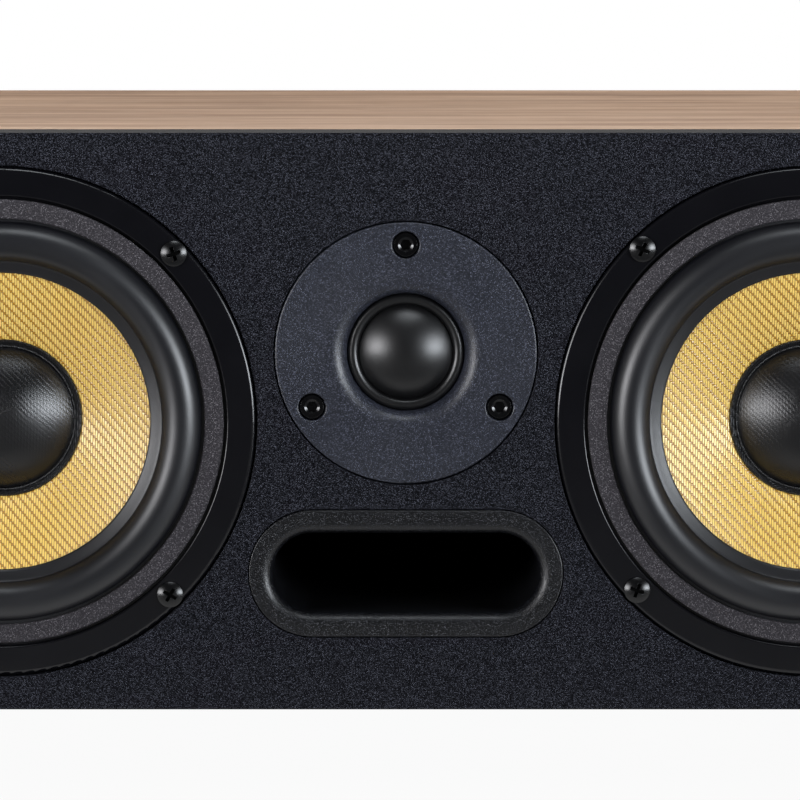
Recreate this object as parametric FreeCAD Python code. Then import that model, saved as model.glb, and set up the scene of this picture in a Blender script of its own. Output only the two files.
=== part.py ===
"""Two-way centre channel loudspeaker: two woofers, a dome tweeter and a slot-shaped reflex port.

Millimetres. X runs to the right seen from the front, Y to the back and Z up. While the pieces are
drawn, Y is the depth behind the baffle's front face, so a driver's outline is given as radius and depth.
At the end all pieces are shifted so that the origin lies under the middle of the cabinet.
"""
import FreeCAD
import Part

import math
import os

from FreeCAD import Vector

# Cabinet
CABINET_DEPTH = 240.0
PANEL_THICKNESS = 16.0
BAFFLE_THICKNESS = 18.0
BAFFLE_EDGE_ROUND = 0.4
BAFFLE_BACK_CHAMFER = 0.8
RIM_TO_EDGE = 9.5  # woofer rim to the top and bottom of the baffle
RIM_TO_SIDE = 29.0  # woofer rim to the ends of the baffle
DRIVER_GAP = 6.8  # tweeter rim to woofer rim
TWEETER_LIFT = 19.0  # tweeter centre above the woofers' centre line
PORT_GAP = 7.4  # port flange to tweeter rim
RECESS_CLEARANCE = 0.4
RECESS_EDGE_ROUND = 0.3
CUTOUT_CLEARANCE = 0.8
SHANK_CLEARANCE = 0.15
GLUE_GAP = 0.2

# Woofer frame, from the rim inwards
FRAME_RADIUS = 70.1
FRAME_THICKNESS = 5.0
FRAME_EDGE_ROUND = 1.2
RING_WIDTH = 8.0
RING_INNER_ROUND = 0.5
RIM_SEAT_DEPTH = 2.6
RIM_SEAT_THICKNESS = 3.0
BASKET_INSET = 1.6
BASKET_WALL = 3.0
BASKET_SHOULDER = 9.0
SPIDER_LEDGE_DEPTH = 28.0
SPIDER_LEDGE_LIP = 1.5
BASE_DEPTH = 36.0
BASE_THICKNESS = 3.0
BASE_RIM = 5.5  # basket base outside the top plate
WINDOW_COUNT = 6
WINDOW_MARGIN = 2.0
SPOKE_WIDTH = 12.0

# Woofer soft parts and moving parts
GASKET_GAP = 0.85
GASKET_WIDTH = 5.3
GASKET_SETBACK = 0.3
GASKET_ROUND = 0.4
ROLL_GAP = 1.2
ROLL_RADIUS = 5.35
SURROUND_THICKNESS = 0.8
LANDING_WIDTH = 3.1
CONE_RIM_INSET = 0.6
CONE_RIM_DEPTH = 2.3
CONE_DEPTH = 15.0
CONE_FLARE_RADIUS = 99.0
CONE_THICKNESS = 0.7
CAP_RADIUS = 19.9
CAP_LIP_WIDTH = 1.85
CAP_HEIGHT = 7.6
CAP_THICKNESS = 0.5
FORMER_RADIUS = 16.2
FORMER_THICKNESS = 0.4
FORMER_TAIL = 0.5
COIL_LENGTH = 13.0
COIL_THICKNESS = 0.8
SPIDER_RADIUS = 46.0
SPIDER_LIP = 4.0
SPIDER_COLLAR = 2.5
SPIDER_WAVES = 4
SPIDER_WAVE_HEIGHT = 1.3
SPIDER_THICKNESS = 0.5
SPIDER_RIM_CLEARANCE = 0.5

# Woofer motor
COIL_CLEARANCE = 0.5
BASKET_HOLE_CLEARANCE = 1.5
TOP_PLATE_RADIUS = 40.0
TOP_PLATE_THICKNESS = 5.0
MAGNET_RADIUS = 42.5
MAGNET_THICKNESS = 15.0
MAGNET_HOLE_RADIUS = 22.0
BACK_PLATE_THICKNESS = 5.0
STEEL_EDGE = 0.8
VENT_RADIUS = 5.0

# Tag strips, for woofers and tweeter
STRIP_WIDTH = 18.0
STRIP_LENGTH = 11.0
STRIP_THICKNESS = 1.6
STRIP_INSET = 1.0
LUG_PITCH = 10.0
LUG_WIDTH = 4.8
LUG_LENGTH = 8.0
LUG_THICKNESS = 0.8

# Pan-head screws of the woofers
SCREW_HEAD_RADIUS = 3.55
SCREW_HEAD_HEIGHT = 2.1
SCREW_CROWN_RADIUS = 0.4
SCREW_SHOULDER = 0.75  # straight edge of the head above the frame
SCREW_TURNS = (70.0, 25.0, 20.0, 30.0)  # of the four cross recesses, in degrees
SCREW_CROSS_WIDTH = 0.9
SCREW_CROSS_LENGTH = 3.6
SCREW_CROSS_DEPTH = 1.4
SCREW_SHANK_RADIUS = 1.9
SCREW_LENGTH = 11.0  # below the frame
SCREW_OFFSET = 0.4  # outside the middle of the ring
SCREW_START = 44.25  # of the first screw around its driver, in degrees

# Tweeter
PLATE_RADIUS = 36.0
PLATE_THICKNESS = 5.0
PLATE_EDGE_ROUND = 0.5
HORN_THROAT_RADIUS = 16.2
HORN_DEPTH = 4.5
DOME_RADIUS = 13.0
DOME_HEIGHT = 5.4
DOME_THICKNESS = 0.35
DOME_RIM_WIDTH = 3.2
TWEETER_COIL_LENGTH = 4.0
TWEETER_COIL_THICKNESS = 0.6
TWEETER_COIL_CLEARANCE = 0.4
TWEETER_MOTOR_RADIUS = 24.0
TWEETER_TOP_THICKNESS = 3.0
TWEETER_MAGNET_INSET = 1.0
TWEETER_MAGNET_HOLE = 15.5
TWEETER_MAGNET_THICKNESS = 8.0
TWEETER_BACK_THICKNESS = 4.0
TWEETER_VENT_RADIUS = 3.0
TWEETER_STRIP_LIFT = 12.0
CAP_SCREW_CIRCLE = 29.75
CAP_SCREW_HEAD_RADIUS = 3.5
CAP_SCREW_HEAD_HEIGHT = 2.6
CAP_SCREW_EDGE_ROUND = 0.5
CAP_SCREW_SINK = 1.0
CAP_SCREW_HEX = 2.8  # across flats
CAP_SCREW_HEX_DEPTH = 1.7
CAP_SCREW_COUNTERSINK_WIDTH = 0.7
CAP_SCREW_COUNTERSINK_DEPTH = 0.36
CAP_SCREW_SHANK_RADIUS = 1.75
CAP_SCREW_LENGTH = 9.0  # below the faceplate
COUNTERBORE_CLEARANCE = 0.25
COUNTERBORE_EDGE_ROUND = 0.4

# Port
PORT_WIDTH = 73.5
PORT_HEIGHT = 22.0
PORT_FLANGE_WIDTH = 6.5
PORT_FLANGE_THICKNESS = 4.0
PORT_MOUTH_ROUND = 3.3
PORT_EDGE_ROUND = 0.4
PORT_CLEARANCE = 0.25
PORT_WALL = 2.5
PORT_LENGTH = 115.0

# Crossover on the rear panel
BOARD_TO_SIDE = 49.3  # board's end to the inside of the end panel
BOARD_WIDTH = 90.0
BOARD_HEIGHT = 84.0
BOARD_THICKNESS = 1.6
SPACER_RADIUS = 3.0
SPACER_HEIGHT = 6.0
SPACER_INSET = 6.0
INDUCTOR_RADIUS = 15.0
INDUCTOR_HOLE = 6.0
INDUCTOR_HEIGHT = 14.0
INDUCTOR_PLACES = ((-8.0, 22.0), (27.0, 22.0))
CAPACITOR_RADIUS = 7.0
CAPACITOR_LENGTH = 28.0
CAPACITOR_PLACES = ((-8.0, -6.0), (27.0, -6.0), (-8.0, -24.0))
RESISTOR_SIZE = (25.0, 9.0, 9.0)
RESISTOR_PLACES = ((27.0, -22.0), (27.0, -34.0))

# Wadding
WADDING_THICKNESS = 16.0
WADDING_MARGIN = 24.0
REAR_WADDING_WIDTH = 130.0

# Binding posts through the rear panel
POST_PITCH = 19.05
POST_BASE_RADIUS = 8.0
POST_BASE_HEIGHT = 4.0
STUD_RADIUS = 3.0
STUD_TAIL = 6.0  # beyond the nut, inside the cabinet
SOCKET_RADIUS = 2.0
SOCKET_DEPTH = 15.0
COLLAR_RADIUS = 5.6
COLLAR_HEIGHT = 2.0
THREAD_CLEARANCE = 0.1
PRESSURE_WASHER_RADIUS = 6.8
PRESSURE_WASHER_HEIGHT = 1.2
KNOB_RADIUS = 7.3
KNOB_LENGTH = 16.0
KNOB_FLUTES = 12
KNOB_FLUTE_RADIUS = 0.9
KNOB_EDGE = 0.8
NUT_FLATS = 10.0
NUT_HEIGHT = 4.0

# Leads inside the cabinet
LEAD_RADIUS = 1.0
LEAD_BEND = 12.0
LEAD_LANDING = 5.0  # from pad to pad on the board

# Places that follow from the sizes above
WOOFER_X = math.sqrt((FRAME_RADIUS + DRIVER_GAP + PLATE_RADIUS) ** 2 - TWEETER_LIFT ** 2)
CABINET_WIDTH = 2 * (WOOFER_X + FRAME_RADIUS + RIM_TO_SIDE)
CABINET_HEIGHT = 2 * (FRAME_RADIUS + RIM_TO_EDGE)
WOOFER_Z = CABINET_HEIGHT / 2
TWEETER_Z = WOOFER_Z + TWEETER_LIFT
PORT_Z = TWEETER_Z - PLATE_RADIUS - PORT_GAP - PORT_FLANGE_WIDTH - PORT_HEIGHT / 2
REAR_INNER = CABINET_DEPTH - PANEL_THICKNESS
RING_INNER = FRAME_RADIUS - RING_WIDTH
SCREW_CIRCLE = FRAME_RADIUS - RING_WIDTH / 2 + SCREW_OFFSET
BASKET_TOP = RING_INNER - BASKET_INSET
BASE_BACK = BASE_DEPTH + BASE_THICKNESS
BASE_RADIUS = TOP_PLATE_RADIUS + BASE_RIM
COIL_MIDDLE = BASE_BACK + TOP_PLATE_THICKNESS / 2
GASKET_OUTER = RING_INNER - GASKET_GAP
GASKET_INNER = GASKET_OUTER - GASKET_WIDTH
ROLL_OUTER = GASKET_INNER - ROLL_GAP
ROLL_INNER = ROLL_OUTER - 2 * ROLL_RADIUS
LANDING_INNER = ROLL_INNER - LANDING_WIDTH
CONE_RIM = ROLL_INNER - CONE_RIM_INSET
CONE_NECK = FORMER_RADIUS + GLUE_GAP
BOARD_X = CABINET_WIDTH / 2 - PANEL_THICKNESS - BOARD_TO_SIDE - BOARD_WIDTH / 2
BOARD_FRONT = REAR_INNER - SPACER_HEIGHT - BOARD_THICKNESS
COLLAR_FRONT = CABINET_DEPTH + POST_BASE_HEIGHT
WASHER_FRONT = COLLAR_FRONT + COLLAR_HEIGHT
KNOB_FRONT = WASHER_FRONT + PRESSURE_WASHER_HEIGHT
STUD_FRONT = REAR_INNER - NUT_HEIGHT - STUD_TAIL


class Profile:
    """A closed outline in radius and depth, drawn with lines and arcs and turned about the axis."""

    def __init__(self, radius, depth):
        self.first = Vector(radius, depth, 0)
        self.last = self.first
        self.edges = []

    def line(self, radius, depth):
        """Draw straight to a point."""
        point = Vector(radius, depth, 0)
        if point.distanceToPoint(self.last) > 1e-6:
            self.edges.append(Part.LineSegment(self.last, point).toShape())
        self.last = point
        return self

    def arc(self, via, radius, depth):
        """Draw an arc to a point through another."""
        point = Vector(radius, depth, 0)
        self.edges.append(Part.Arc(self.last, Vector(via[0], via[1], 0), point).toShape())
        self.last = point
        return self

    def corner(self, centre, radius, depth):
        """Draw a quarter round about a centre."""
        middle = Vector(centre[0], centre[1], 0)
        spoke = self.last - middle
        out = spoke + Vector(radius, depth, 0) - middle
        out.normalize()
        via = middle + out * spoke.Length
        return self.arc((via.x, via.y), radius, depth)

    def turned(self):
        """Close the outline and turn it into a solid about the Y axis."""
        self.line(self.first.x, self.first.y)
        face = Part.Face(Part.Wire(self.edges))
        return face.revolve(Vector(0, 0, 0), Vector(0, 1, 0), 360)


def block(x0, x1, y0, y1, z0, z1):
    """Box between two corners."""
    return Part.makeBox(x1 - x0, y1 - y0, z1 - z0, Vector(x0, y0, z0))


def rod(radius, front, back, x=0.0, z=0.0):
    """Cylinder along the depth."""
    return Part.makeCylinder(radius, back - front, Vector(x, front, z), Vector(0, 1, 0))


def ring(inner, outer, front, back, edge=0.0):
    """Ring about the Y axis with its outer edges broken by a small chamfer."""
    outline = Profile(inner, front)
    outline.line(outer - edge, front).line(outer, front + edge)
    outline.line(outer, back - edge).line(outer - edge, back)
    outline.line(inner, back)
    return outline.turned()


def stadium(width, height, front, back):
    """Slot-shaped prism along the depth, its ends half round, centred on the Y axis."""
    end = height / 2
    side = width / 2 - end
    low_left = Vector(-side, front, -end)
    low_right = Vector(side, front, -end)
    high_right = Vector(side, front, end)
    high_left = Vector(-side, front, end)
    curves = [
        Part.LineSegment(low_left, low_right),
        Part.Arc(low_right, Vector(side + end, front, 0), high_right),
        Part.LineSegment(high_right, high_left),
        Part.Arc(high_left, Vector(-side - end, front, 0), low_left),
    ]
    outline = Part.Wire([curve.toShape() for curve in curves])
    return Part.Face(outline).extrude(Vector(0, back - front, 0))


def hexagon(flats, front, back):
    """Six-sided prism along the depth, centred on the Y axis."""
    reach = flats / math.sqrt(3)
    points = []
    for step in range(7):
        angle = math.radians(60 * step)
        points.append(Vector(reach * math.cos(angle), front, reach * math.sin(angle)))
    return Part.Face(Part.makePolygon(points)).extrude(Vector(0, back - front, 0))


def around(count, radius, start):
    """Places on a circle in X and Z, the first at the start angle in degrees."""
    places = []
    for step in range(count):
        angle = math.radians(start + 360.0 * step / count)
        places.append((radius * math.cos(angle), radius * math.sin(angle)))
    return places


def at(shape, x, z):
    """Copy of a shape moved within the plane of the baffle."""
    return shape.translated(Vector(x, 0, z))


def rounded(shape, radius, keep):
    """Fillet the edges for which keep(edge) holds."""
    return shape.makeFillet(radius, [edge for edge in shape.Edges if keep(edge)])


def lies_at(edge, depth):
    """Whether an edge lies wholly at one depth."""
    box = edge.BoundBox
    return abs(box.YMin - depth) < 1e-4 and abs(box.YMax - depth) < 1e-4


def panels():
    """The mitred sleeve of four veneered boards and the rear panel let into it."""
    half = CABINET_WIDTH / 2
    inner = half - PANEL_THICKNESS
    top = CABINET_HEIGHT
    low = PANEL_THICKNESS
    high = CABINET_HEIGHT - PANEL_THICKNESS
    outlines = {
        "top_panel": [(-half, top), (half, top), (inner, high), (-inner, high)],
        "bottom_panel": [(-half, 0), (half, 0), (inner, low), (-inner, low)],
        "left_panel": [(-half, 0), (-half, top), (-inner, high), (-inner, low)],
        "right_panel": [(half, 0), (half, top), (inner, high), (inner, low)],
    }
    shapes = {}
    for name, corners in outlines.items():
        points = [Vector(x, BAFFLE_THICKNESS, z) for x, z in corners + corners[:1]]
        board = Part.Face(Part.makePolygon(points))
        shapes[name] = board.extrude(Vector(0, CABINET_DEPTH - BAFFLE_THICKNESS, 0))
    rear = block(-inner, inner, REAR_INNER, CABINET_DEPTH, low, high)
    for x in (-POST_PITCH / 2, POST_PITCH / 2):
        rear = rear.cut(rod(STUD_RADIUS + SHANK_CLEARANCE, REAR_INNER, CABINET_DEPTH, x, WOOFER_Z))
    shapes["rear_panel"] = rear
    return shapes


def woofer_screw_places():
    """The four screws of one woofer, on the diagonals."""
    return around(4, SCREW_CIRCLE, SCREW_START)


def tweeter_screw_places():
    """The three screws of the tweeter, one of them at the top."""
    return around(3, CAP_SCREW_CIRCLE, 90)


def front_baffle():
    """The board that carries the drivers and the port, with a recess for each rim."""
    half = CABINET_WIDTH / 2
    board = block(-half, half, 0, BAFFLE_THICKNESS, 0, CABINET_HEIGHT)
    board = rounded(board, BAFFLE_EDGE_ROUND, lambda edge: lies_at(edge, 0))
    back = [edge for edge in board.Edges if lies_at(edge, BAFFLE_THICKNESS)]
    board = board.makeChamfer(BAFFLE_BACK_CHAMFER, back)
    cuts = []
    for x in (-WOOFER_X, WOOFER_X):
        cuts.append(rod(FRAME_RADIUS + RECESS_CLEARANCE, 0, FRAME_THICKNESS, x, WOOFER_Z))
        cuts.append(rod(BASKET_TOP + CUTOUT_CLEARANCE, 0, BAFFLE_THICKNESS, x, WOOFER_Z))
        for dx, dz in woofer_screw_places():
            pilot = SCREW_SHANK_RADIUS + SHANK_CLEARANCE
            cuts.append(rod(pilot, 0, FRAME_THICKNESS + SCREW_LENGTH, x + dx, WOOFER_Z + dz))
    cuts.append(rod(PLATE_RADIUS + RECESS_CLEARANCE, 0, PLATE_THICKNESS, 0, TWEETER_Z))
    cuts.append(rod(TWEETER_MOTOR_RADIUS + CUTOUT_CLEARANCE, 0, BAFFLE_THICKNESS, 0, TWEETER_Z))
    for dx, dz in tweeter_screw_places():
        pilot = CAP_SCREW_SHANK_RADIUS + SHANK_CLEARANCE
        cuts.append(rod(pilot, 0, PLATE_THICKNESS + CAP_SCREW_LENGTH, dx, TWEETER_Z + dz))
    flange = 2 * (PORT_FLANGE_WIDTH + PORT_CLEARANCE)
    cuts.append(at(stadium(PORT_WIDTH + flange, PORT_HEIGHT + flange, 0, PORT_FLANGE_THICKNESS), 0, PORT_Z))
    duct = 2 * (PORT_WALL + PORT_CLEARANCE)
    cuts.append(at(stadium(PORT_WIDTH + duct, PORT_HEIGHT + duct, 0, BAFFLE_THICKNESS), 0, PORT_Z))
    board = board.cut(cuts)
    margin = RIM_TO_EDGE / 2

    def of_recess(edge):
        box = edge.BoundBox
        return lies_at(edge, 0) and box.ZMin > margin and box.ZMax < CABINET_HEIGHT - margin

    return rounded(board, RECESS_EDGE_ROUND, of_recess)


def port_tube():
    """The moulded port: a flush flange, a rounded mouth and a straight duct."""
    flange = 2 * PORT_FLANGE_WIDTH
    wall = 2 * PORT_WALL
    tube = stadium(PORT_WIDTH + flange, PORT_HEIGHT + flange, 0, PORT_FLANGE_THICKNESS)
    tube = tube.fuse(stadium(PORT_WIDTH + wall, PORT_HEIGHT + wall, 0, PORT_LENGTH)).removeSplitter()
    tube = rounded(tube, PORT_EDGE_ROUND, lambda edge: lies_at(edge, 0))
    tube = tube.cut(stadium(PORT_WIDTH, PORT_HEIGHT, 0, PORT_LENGTH))
    limit = PORT_WIDTH / 2 + 0.01

    def in_mouth(edge):
        box = edge.BoundBox
        inside = abs(box.ZMin) < PORT_HEIGHT / 2 + 0.01 and abs(box.ZMax) < PORT_HEIGHT / 2 + 0.01
        return lies_at(edge, 0) and inside and max(abs(box.XMin), abs(box.XMax)) < limit

    return at(rounded(tube, PORT_MOUTH_ROUND, in_mouth), 0, PORT_Z)


def cone_centre():
    """Centre of the arc that the cone's outline follows from rim to neck."""
    across = CONE_RIM - CONE_NECK
    chord = math.hypot(across, CONE_DEPTH)
    reach = math.sqrt(CONE_FLARE_RADIUS ** 2 - chord ** 2 / 4)
    radius = (CONE_RIM + CONE_NECK) / 2 + reach * CONE_DEPTH / chord
    depth = CONE_RIM_DEPTH + CONE_DEPTH / 2 + reach * across / chord
    return radius, depth


def cone_face(radius):
    """Depth of the cone's front face at a radius."""
    centre_radius, centre_depth = cone_centre()
    return centre_depth - math.sqrt(CONE_FLARE_RADIUS ** 2 - (radius - centre_radius) ** 2)


def cone_strip(outer, inner, front, back):
    """Shell that lies along the cone between two radii, its faces set off from the cone's front."""
    middle = (outer + inner) / 2
    outline = Profile(outer, cone_face(outer) + front)
    outline.arc((middle, cone_face(middle) + front), inner, cone_face(inner) + front)
    outline.line(inner, cone_face(inner) + back)
    outline.arc((middle, cone_face(middle) + back), outer, cone_face(outer) + back)
    return outline.turned()


def basket():
    """Cast frame: screwed ring, rim seat, windowed wall, spider ledge and base."""
    ledge_inner = SPIDER_RADIUS - SPIDER_LIP
    ledge_outer = SPIDER_RADIUS + SPIDER_RIM_CLEARANCE
    wall_inner = BASKET_TOP - BASKET_WALL
    hole = FORMER_RADIUS + COIL_THICKNESS + BASKET_HOLE_CLEARANCE
    seat_back = RIM_SEAT_DEPTH + RIM_SEAT_THICKNESS
    outline = Profile(RING_INNER + RING_INNER_ROUND, 0)
    outline.line(FRAME_RADIUS - FRAME_EDGE_ROUND, 0)
    outline.corner((FRAME_RADIUS - FRAME_EDGE_ROUND, FRAME_EDGE_ROUND), FRAME_RADIUS, FRAME_EDGE_ROUND)
    outline.line(FRAME_RADIUS, FRAME_THICKNESS).line(BASKET_TOP, FRAME_THICKNESS)
    outline.line(BASKET_TOP, BASKET_SHOULDER)
    outline.line(ledge_outer + BASKET_WALL, SPIDER_LEDGE_DEPTH - SPIDER_LEDGE_LIP)
    outline.line(ledge_outer + BASKET_WALL, SPIDER_LEDGE_DEPTH + BASKET_WALL)
    outline.line(BASE_RADIUS, BASE_DEPTH - BASKET_WALL / 2).line(BASE_RADIUS, BASE_BACK)
    outline.line(hole, BASE_BACK).line(hole, BASE_DEPTH)
    outline.line(ledge_inner, BASE_DEPTH).line(ledge_inner, SPIDER_LEDGE_DEPTH)
    outline.line(ledge_outer, SPIDER_LEDGE_DEPTH).line(ledge_outer, SPIDER_LEDGE_DEPTH - SPIDER_LEDGE_LIP)
    outline.line(wall_inner, BASKET_SHOULDER).line(wall_inner, seat_back)
    outline.line(ROLL_OUTER, seat_back).line(ROLL_OUTER, RIM_SEAT_DEPTH)
    outline.line(RING_INNER, RIM_SEAT_DEPTH).line(RING_INNER, RING_INNER_ROUND)
    centre = (RING_INNER + RING_INNER_ROUND, RING_INNER_ROUND)
    outline.corner(centre, RING_INNER + RING_INNER_ROUND, 0)
    frame = outline.turned()
    top = BASKET_SHOULDER + WINDOW_MARGIN
    low = SPIDER_LEDGE_DEPTH - SPIDER_LEDGE_LIP - WINDOW_MARGIN
    windows = ring(SPIDER_RADIUS - WINDOW_MARGIN, BASKET_TOP + WINDOW_MARGIN, top, low)
    spoke = block(0, FRAME_RADIUS, top, low, -SPOKE_WIDTH / 2, SPOKE_WIDTH / 2)
    for step in range(WINDOW_COUNT):
        turn = 360.0 * step / WINDOW_COUNT
        windows = windows.cut(spoke.rotated(Vector(0, 0, 0), Vector(0, 1, 0), turn))
    frame = frame.cut(windows)
    for x, z in woofer_screw_places():
        frame = frame.cut(rod(SCREW_SHANK_RADIUS + SHANK_CLEARANCE, 0, FRAME_THICKNESS, x, z))
    return frame


def gasket():
    """Flat speckled ring that covers the glued edge of the surround."""
    back = RIM_SEAT_DEPTH - SURROUND_THICKNESS
    outline = Profile(GASKET_INNER, back)
    outline.line(GASKET_INNER, GASKET_SETBACK + GASKET_ROUND)
    outline.corner((GASKET_INNER + GASKET_ROUND, GASKET_SETBACK + GASKET_ROUND),
                   GASKET_INNER + GASKET_ROUND, GASKET_SETBACK)
    outline.line(GASKET_OUTER - GASKET_ROUND, GASKET_SETBACK)
    outline.corner((GASKET_OUTER - GASKET_ROUND, GASKET_SETBACK + GASKET_ROUND),
                   GASKET_OUTER, GASKET_SETBACK + GASKET_ROUND)
    outline.line(GASKET_OUTER, back)
    return outline.turned()


def surround():
    """Rubber half roll with a flat outer edge and an inner landing that follows the cone."""
    front = RIM_SEAT_DEPTH - SURROUND_THICKNESS
    middle = ROLL_OUTER - ROLL_RADIUS
    crest = front - ROLL_RADIUS
    landing = LANDING_INNER + LANDING_WIDTH / 2
    lift = GLUE_GAP + SURROUND_THICKNESS
    foot = cone_face(ROLL_INNER) - GLUE_GAP
    outline = Profile(GASKET_OUTER, front)
    outline.line(ROLL_OUTER, front)
    outline.arc((middle, crest), ROLL_INNER, cone_face(ROLL_INNER) - lift)
    outline.arc((landing, cone_face(landing) - lift), LANDING_INNER, cone_face(LANDING_INNER) - lift)
    outline.line(LANDING_INNER, cone_face(LANDING_INNER) - GLUE_GAP)
    outline.arc((landing, cone_face(landing) - GLUE_GAP), ROLL_INNER, foot)
    outline.line(ROLL_INNER + SURROUND_THICKNESS, foot)
    outline.arc((middle, crest + SURROUND_THICKNESS), ROLL_OUTER - SURROUND_THICKNESS, RIM_SEAT_DEPTH)
    outline.line(GASKET_OUTER, RIM_SEAT_DEPTH)
    return outline.turned()


def domed(radius, base, height, thickness, skirt):
    """Outline of a domed shell, begun at the crown and ended where the skirt's back begins.

    The skirt is a list of drawing steps from the dome's front edge to its back edge.
    """
    sphere = (radius ** 2 + height ** 2) / (2 * height)
    centre = base - height + sphere
    half = math.asin(radius / sphere) / 2
    inner = sphere - thickness
    inner_radius = math.sqrt(inner ** 2 - (centre - base) ** 2)
    inner_half = math.asin(inner_radius / inner) / 2
    outline = Profile(0, base - height)
    outline.arc((sphere * math.sin(half), centre - sphere * math.cos(half)), radius, base)
    for step in skirt:
        if len(step) == 2:
            outline.line(*step)
        else:
            outline.arc(*step)
    outline.line(inner_radius, base)
    via = (inner * math.sin(inner_half), centre - inner * math.cos(inner_half))
    outline.arc(via, 0, base - height + thickness)
    return outline.turned()


def dust_cap():
    """Domed cap with a lip that lies on the cone."""
    outer = CAP_RADIUS + CAP_LIP_WIDTH
    lift = GLUE_GAP + CAP_THICKNESS
    skirt = [
        (outer, cone_face(outer) - lift),
        (outer, cone_face(outer) - GLUE_GAP),
        (CAP_RADIUS, cone_face(CAP_RADIUS) - GLUE_GAP),
    ]
    return domed(CAP_RADIUS, cone_face(CAP_RADIUS) - lift, CAP_HEIGHT, CAP_THICKNESS, skirt)


def spider():
    """Corrugated cloth disc that centres the voice coil."""
    inner = FORMER_RADIUS + GLUE_GAP
    front = SPIDER_LEDGE_DEPTH - SPIDER_THICKNESS
    start = SPIDER_RADIUS - SPIDER_LIP
    step = (start - inner - SPIDER_COLLAR) / (2 * SPIDER_WAVES)
    outline = Profile(SPIDER_RADIUS, front)
    outline.line(start, front)
    for wave in range(2 * SPIDER_WAVES):
        height = SPIDER_WAVE_HEIGHT * (-1) ** wave
        radius = start - step * wave
        outline.arc((radius - step / 2, front - height), radius - step, front)
    outline.line(inner, front).line(inner, SPIDER_LEDGE_DEPTH)
    outline.line(inner + SPIDER_COLLAR, SPIDER_LEDGE_DEPTH)
    for wave in reversed(range(2 * SPIDER_WAVES)):
        height = SPIDER_WAVE_HEIGHT * (-1) ** wave
        radius = start - step * wave
        outline.arc((radius - step / 2, SPIDER_LEDGE_DEPTH - height), radius, SPIDER_LEDGE_DEPTH)
    outline.line(SPIDER_RADIUS, SPIDER_LEDGE_DEPTH)
    return outline.turned()


def yoke(pole, reach, outer, front, back, vent, edge):
    """Back plate and centre pole in one piece of steel, with a vent through both."""
    outline = Profile(vent, reach)
    outline.line(pole - edge, reach).line(pole, reach + edge).line(pole, front)
    outline.line(outer - edge, front).line(outer, front + edge)
    outline.line(outer, back - edge).line(outer - edge, back)
    outline.line(vent, back)
    return outline.turned()


def tag_strip(seat, inner):
    """Fibre strip with two solder lugs, reaching out along X from a flat seat."""
    half = STRIP_WIDTH / 2
    strip = block(inner, inner + STRIP_LENGTH, seat, seat + STRIP_THICKNESS, -half, half)
    start = inner + STRIP_LENGTH - STRIP_INSET
    face = seat + STRIP_THICKNESS
    for side in (-1, 1):
        low = (side * LUG_PITCH - LUG_WIDTH) / 2
        lug = block(start, start + LUG_LENGTH, face, face + LUG_THICKNESS, low, low + LUG_WIDTH)
        strip = strip.fuse(lug)
    return strip.removeSplitter()


def woofer_pieces(inwards):
    """All pieces of one woofer about its own axis; inwards is the direction of the lugs along X."""
    coil_front = COIL_MIDDLE - COIL_LENGTH / 2
    coil_back = COIL_MIDDLE + COIL_LENGTH / 2
    former_inner = FORMER_RADIUS - FORMER_THICKNESS
    former_front = cone_face(CONE_NECK) - CONE_THICKNESS
    coil_outer = FORMER_RADIUS + COIL_THICKNESS
    plate_back = BASE_BACK + TOP_PLATE_THICKNESS
    magnet_back = plate_back + MAGNET_THICKNESS
    pole = former_inner - COIL_CLEARANCE
    strip = tag_strip(BASE_BACK, TOP_PLATE_RADIUS + STRIP_INSET)
    return {
        "basket": basket(),
        "gasket": gasket(),
        "surround": surround(),
        "cone": cone_strip(CONE_RIM, CONE_NECK, 0, CONE_THICKNESS),
        "dust_cap": dust_cap(),
        "coil_former": ring(former_inner, FORMER_RADIUS, former_front, coil_back + FORMER_TAIL),
        "voice_coil": ring(FORMER_RADIUS, coil_outer, coil_front, coil_back),
        "spider": spider(),
        "top_plate": ring(coil_outer + COIL_CLEARANCE, TOP_PLATE_RADIUS, BASE_BACK, plate_back, STEEL_EDGE),
        "magnet": ring(MAGNET_HOLE_RADIUS, MAGNET_RADIUS, plate_back, magnet_back, STEEL_EDGE),
        "yoke": yoke(pole, BASE_BACK, TOP_PLATE_RADIUS, magnet_back, magnet_back + BACK_PLATE_THICKNESS,
                     VENT_RADIUS, STEEL_EDGE),
        "tag_strip": strip.rotated(Vector(0, 0, 0), Vector(0, 1, 0), 0 if inwards > 0 else 180),
    }


def pan_screw():
    """Pan-head screw with a cross recess, its head in front of depth zero."""
    across = SCREW_HEAD_RADIUS - SCREW_CROWN_RADIUS
    rise = SCREW_HEAD_HEIGHT - SCREW_SHOULDER
    bend = (across ** 2 + rise ** 2) / (2 * rise)
    half = math.atan2(across, bend - rise) / 2
    via = (SCREW_CROWN_RADIUS + bend * math.sin(half), bend * (1 - math.cos(half)) - SCREW_HEAD_HEIGHT)
    length = FRAME_THICKNESS + SCREW_LENGTH
    outline = Profile(0, -SCREW_HEAD_HEIGHT)
    outline.line(SCREW_CROWN_RADIUS, -SCREW_HEAD_HEIGHT)
    outline.arc(via, SCREW_HEAD_RADIUS, -SCREW_SHOULDER)
    outline.line(SCREW_HEAD_RADIUS, 0).line(SCREW_SHANK_RADIUS, 0)
    outline.line(SCREW_SHANK_RADIUS, length - SCREW_SHANK_RADIUS).line(0, length)
    screw = outline.turned()
    bottom = SCREW_CROSS_DEPTH - SCREW_HEAD_HEIGHT
    for wide, high in ((SCREW_CROSS_LENGTH, SCREW_CROSS_WIDTH), (SCREW_CROSS_WIDTH, SCREW_CROSS_LENGTH)):
        screw = screw.cut(block(-wide / 2, wide / 2, -SCREW_HEAD_HEIGHT, bottom, -high / 2, high / 2))
    return screw


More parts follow.
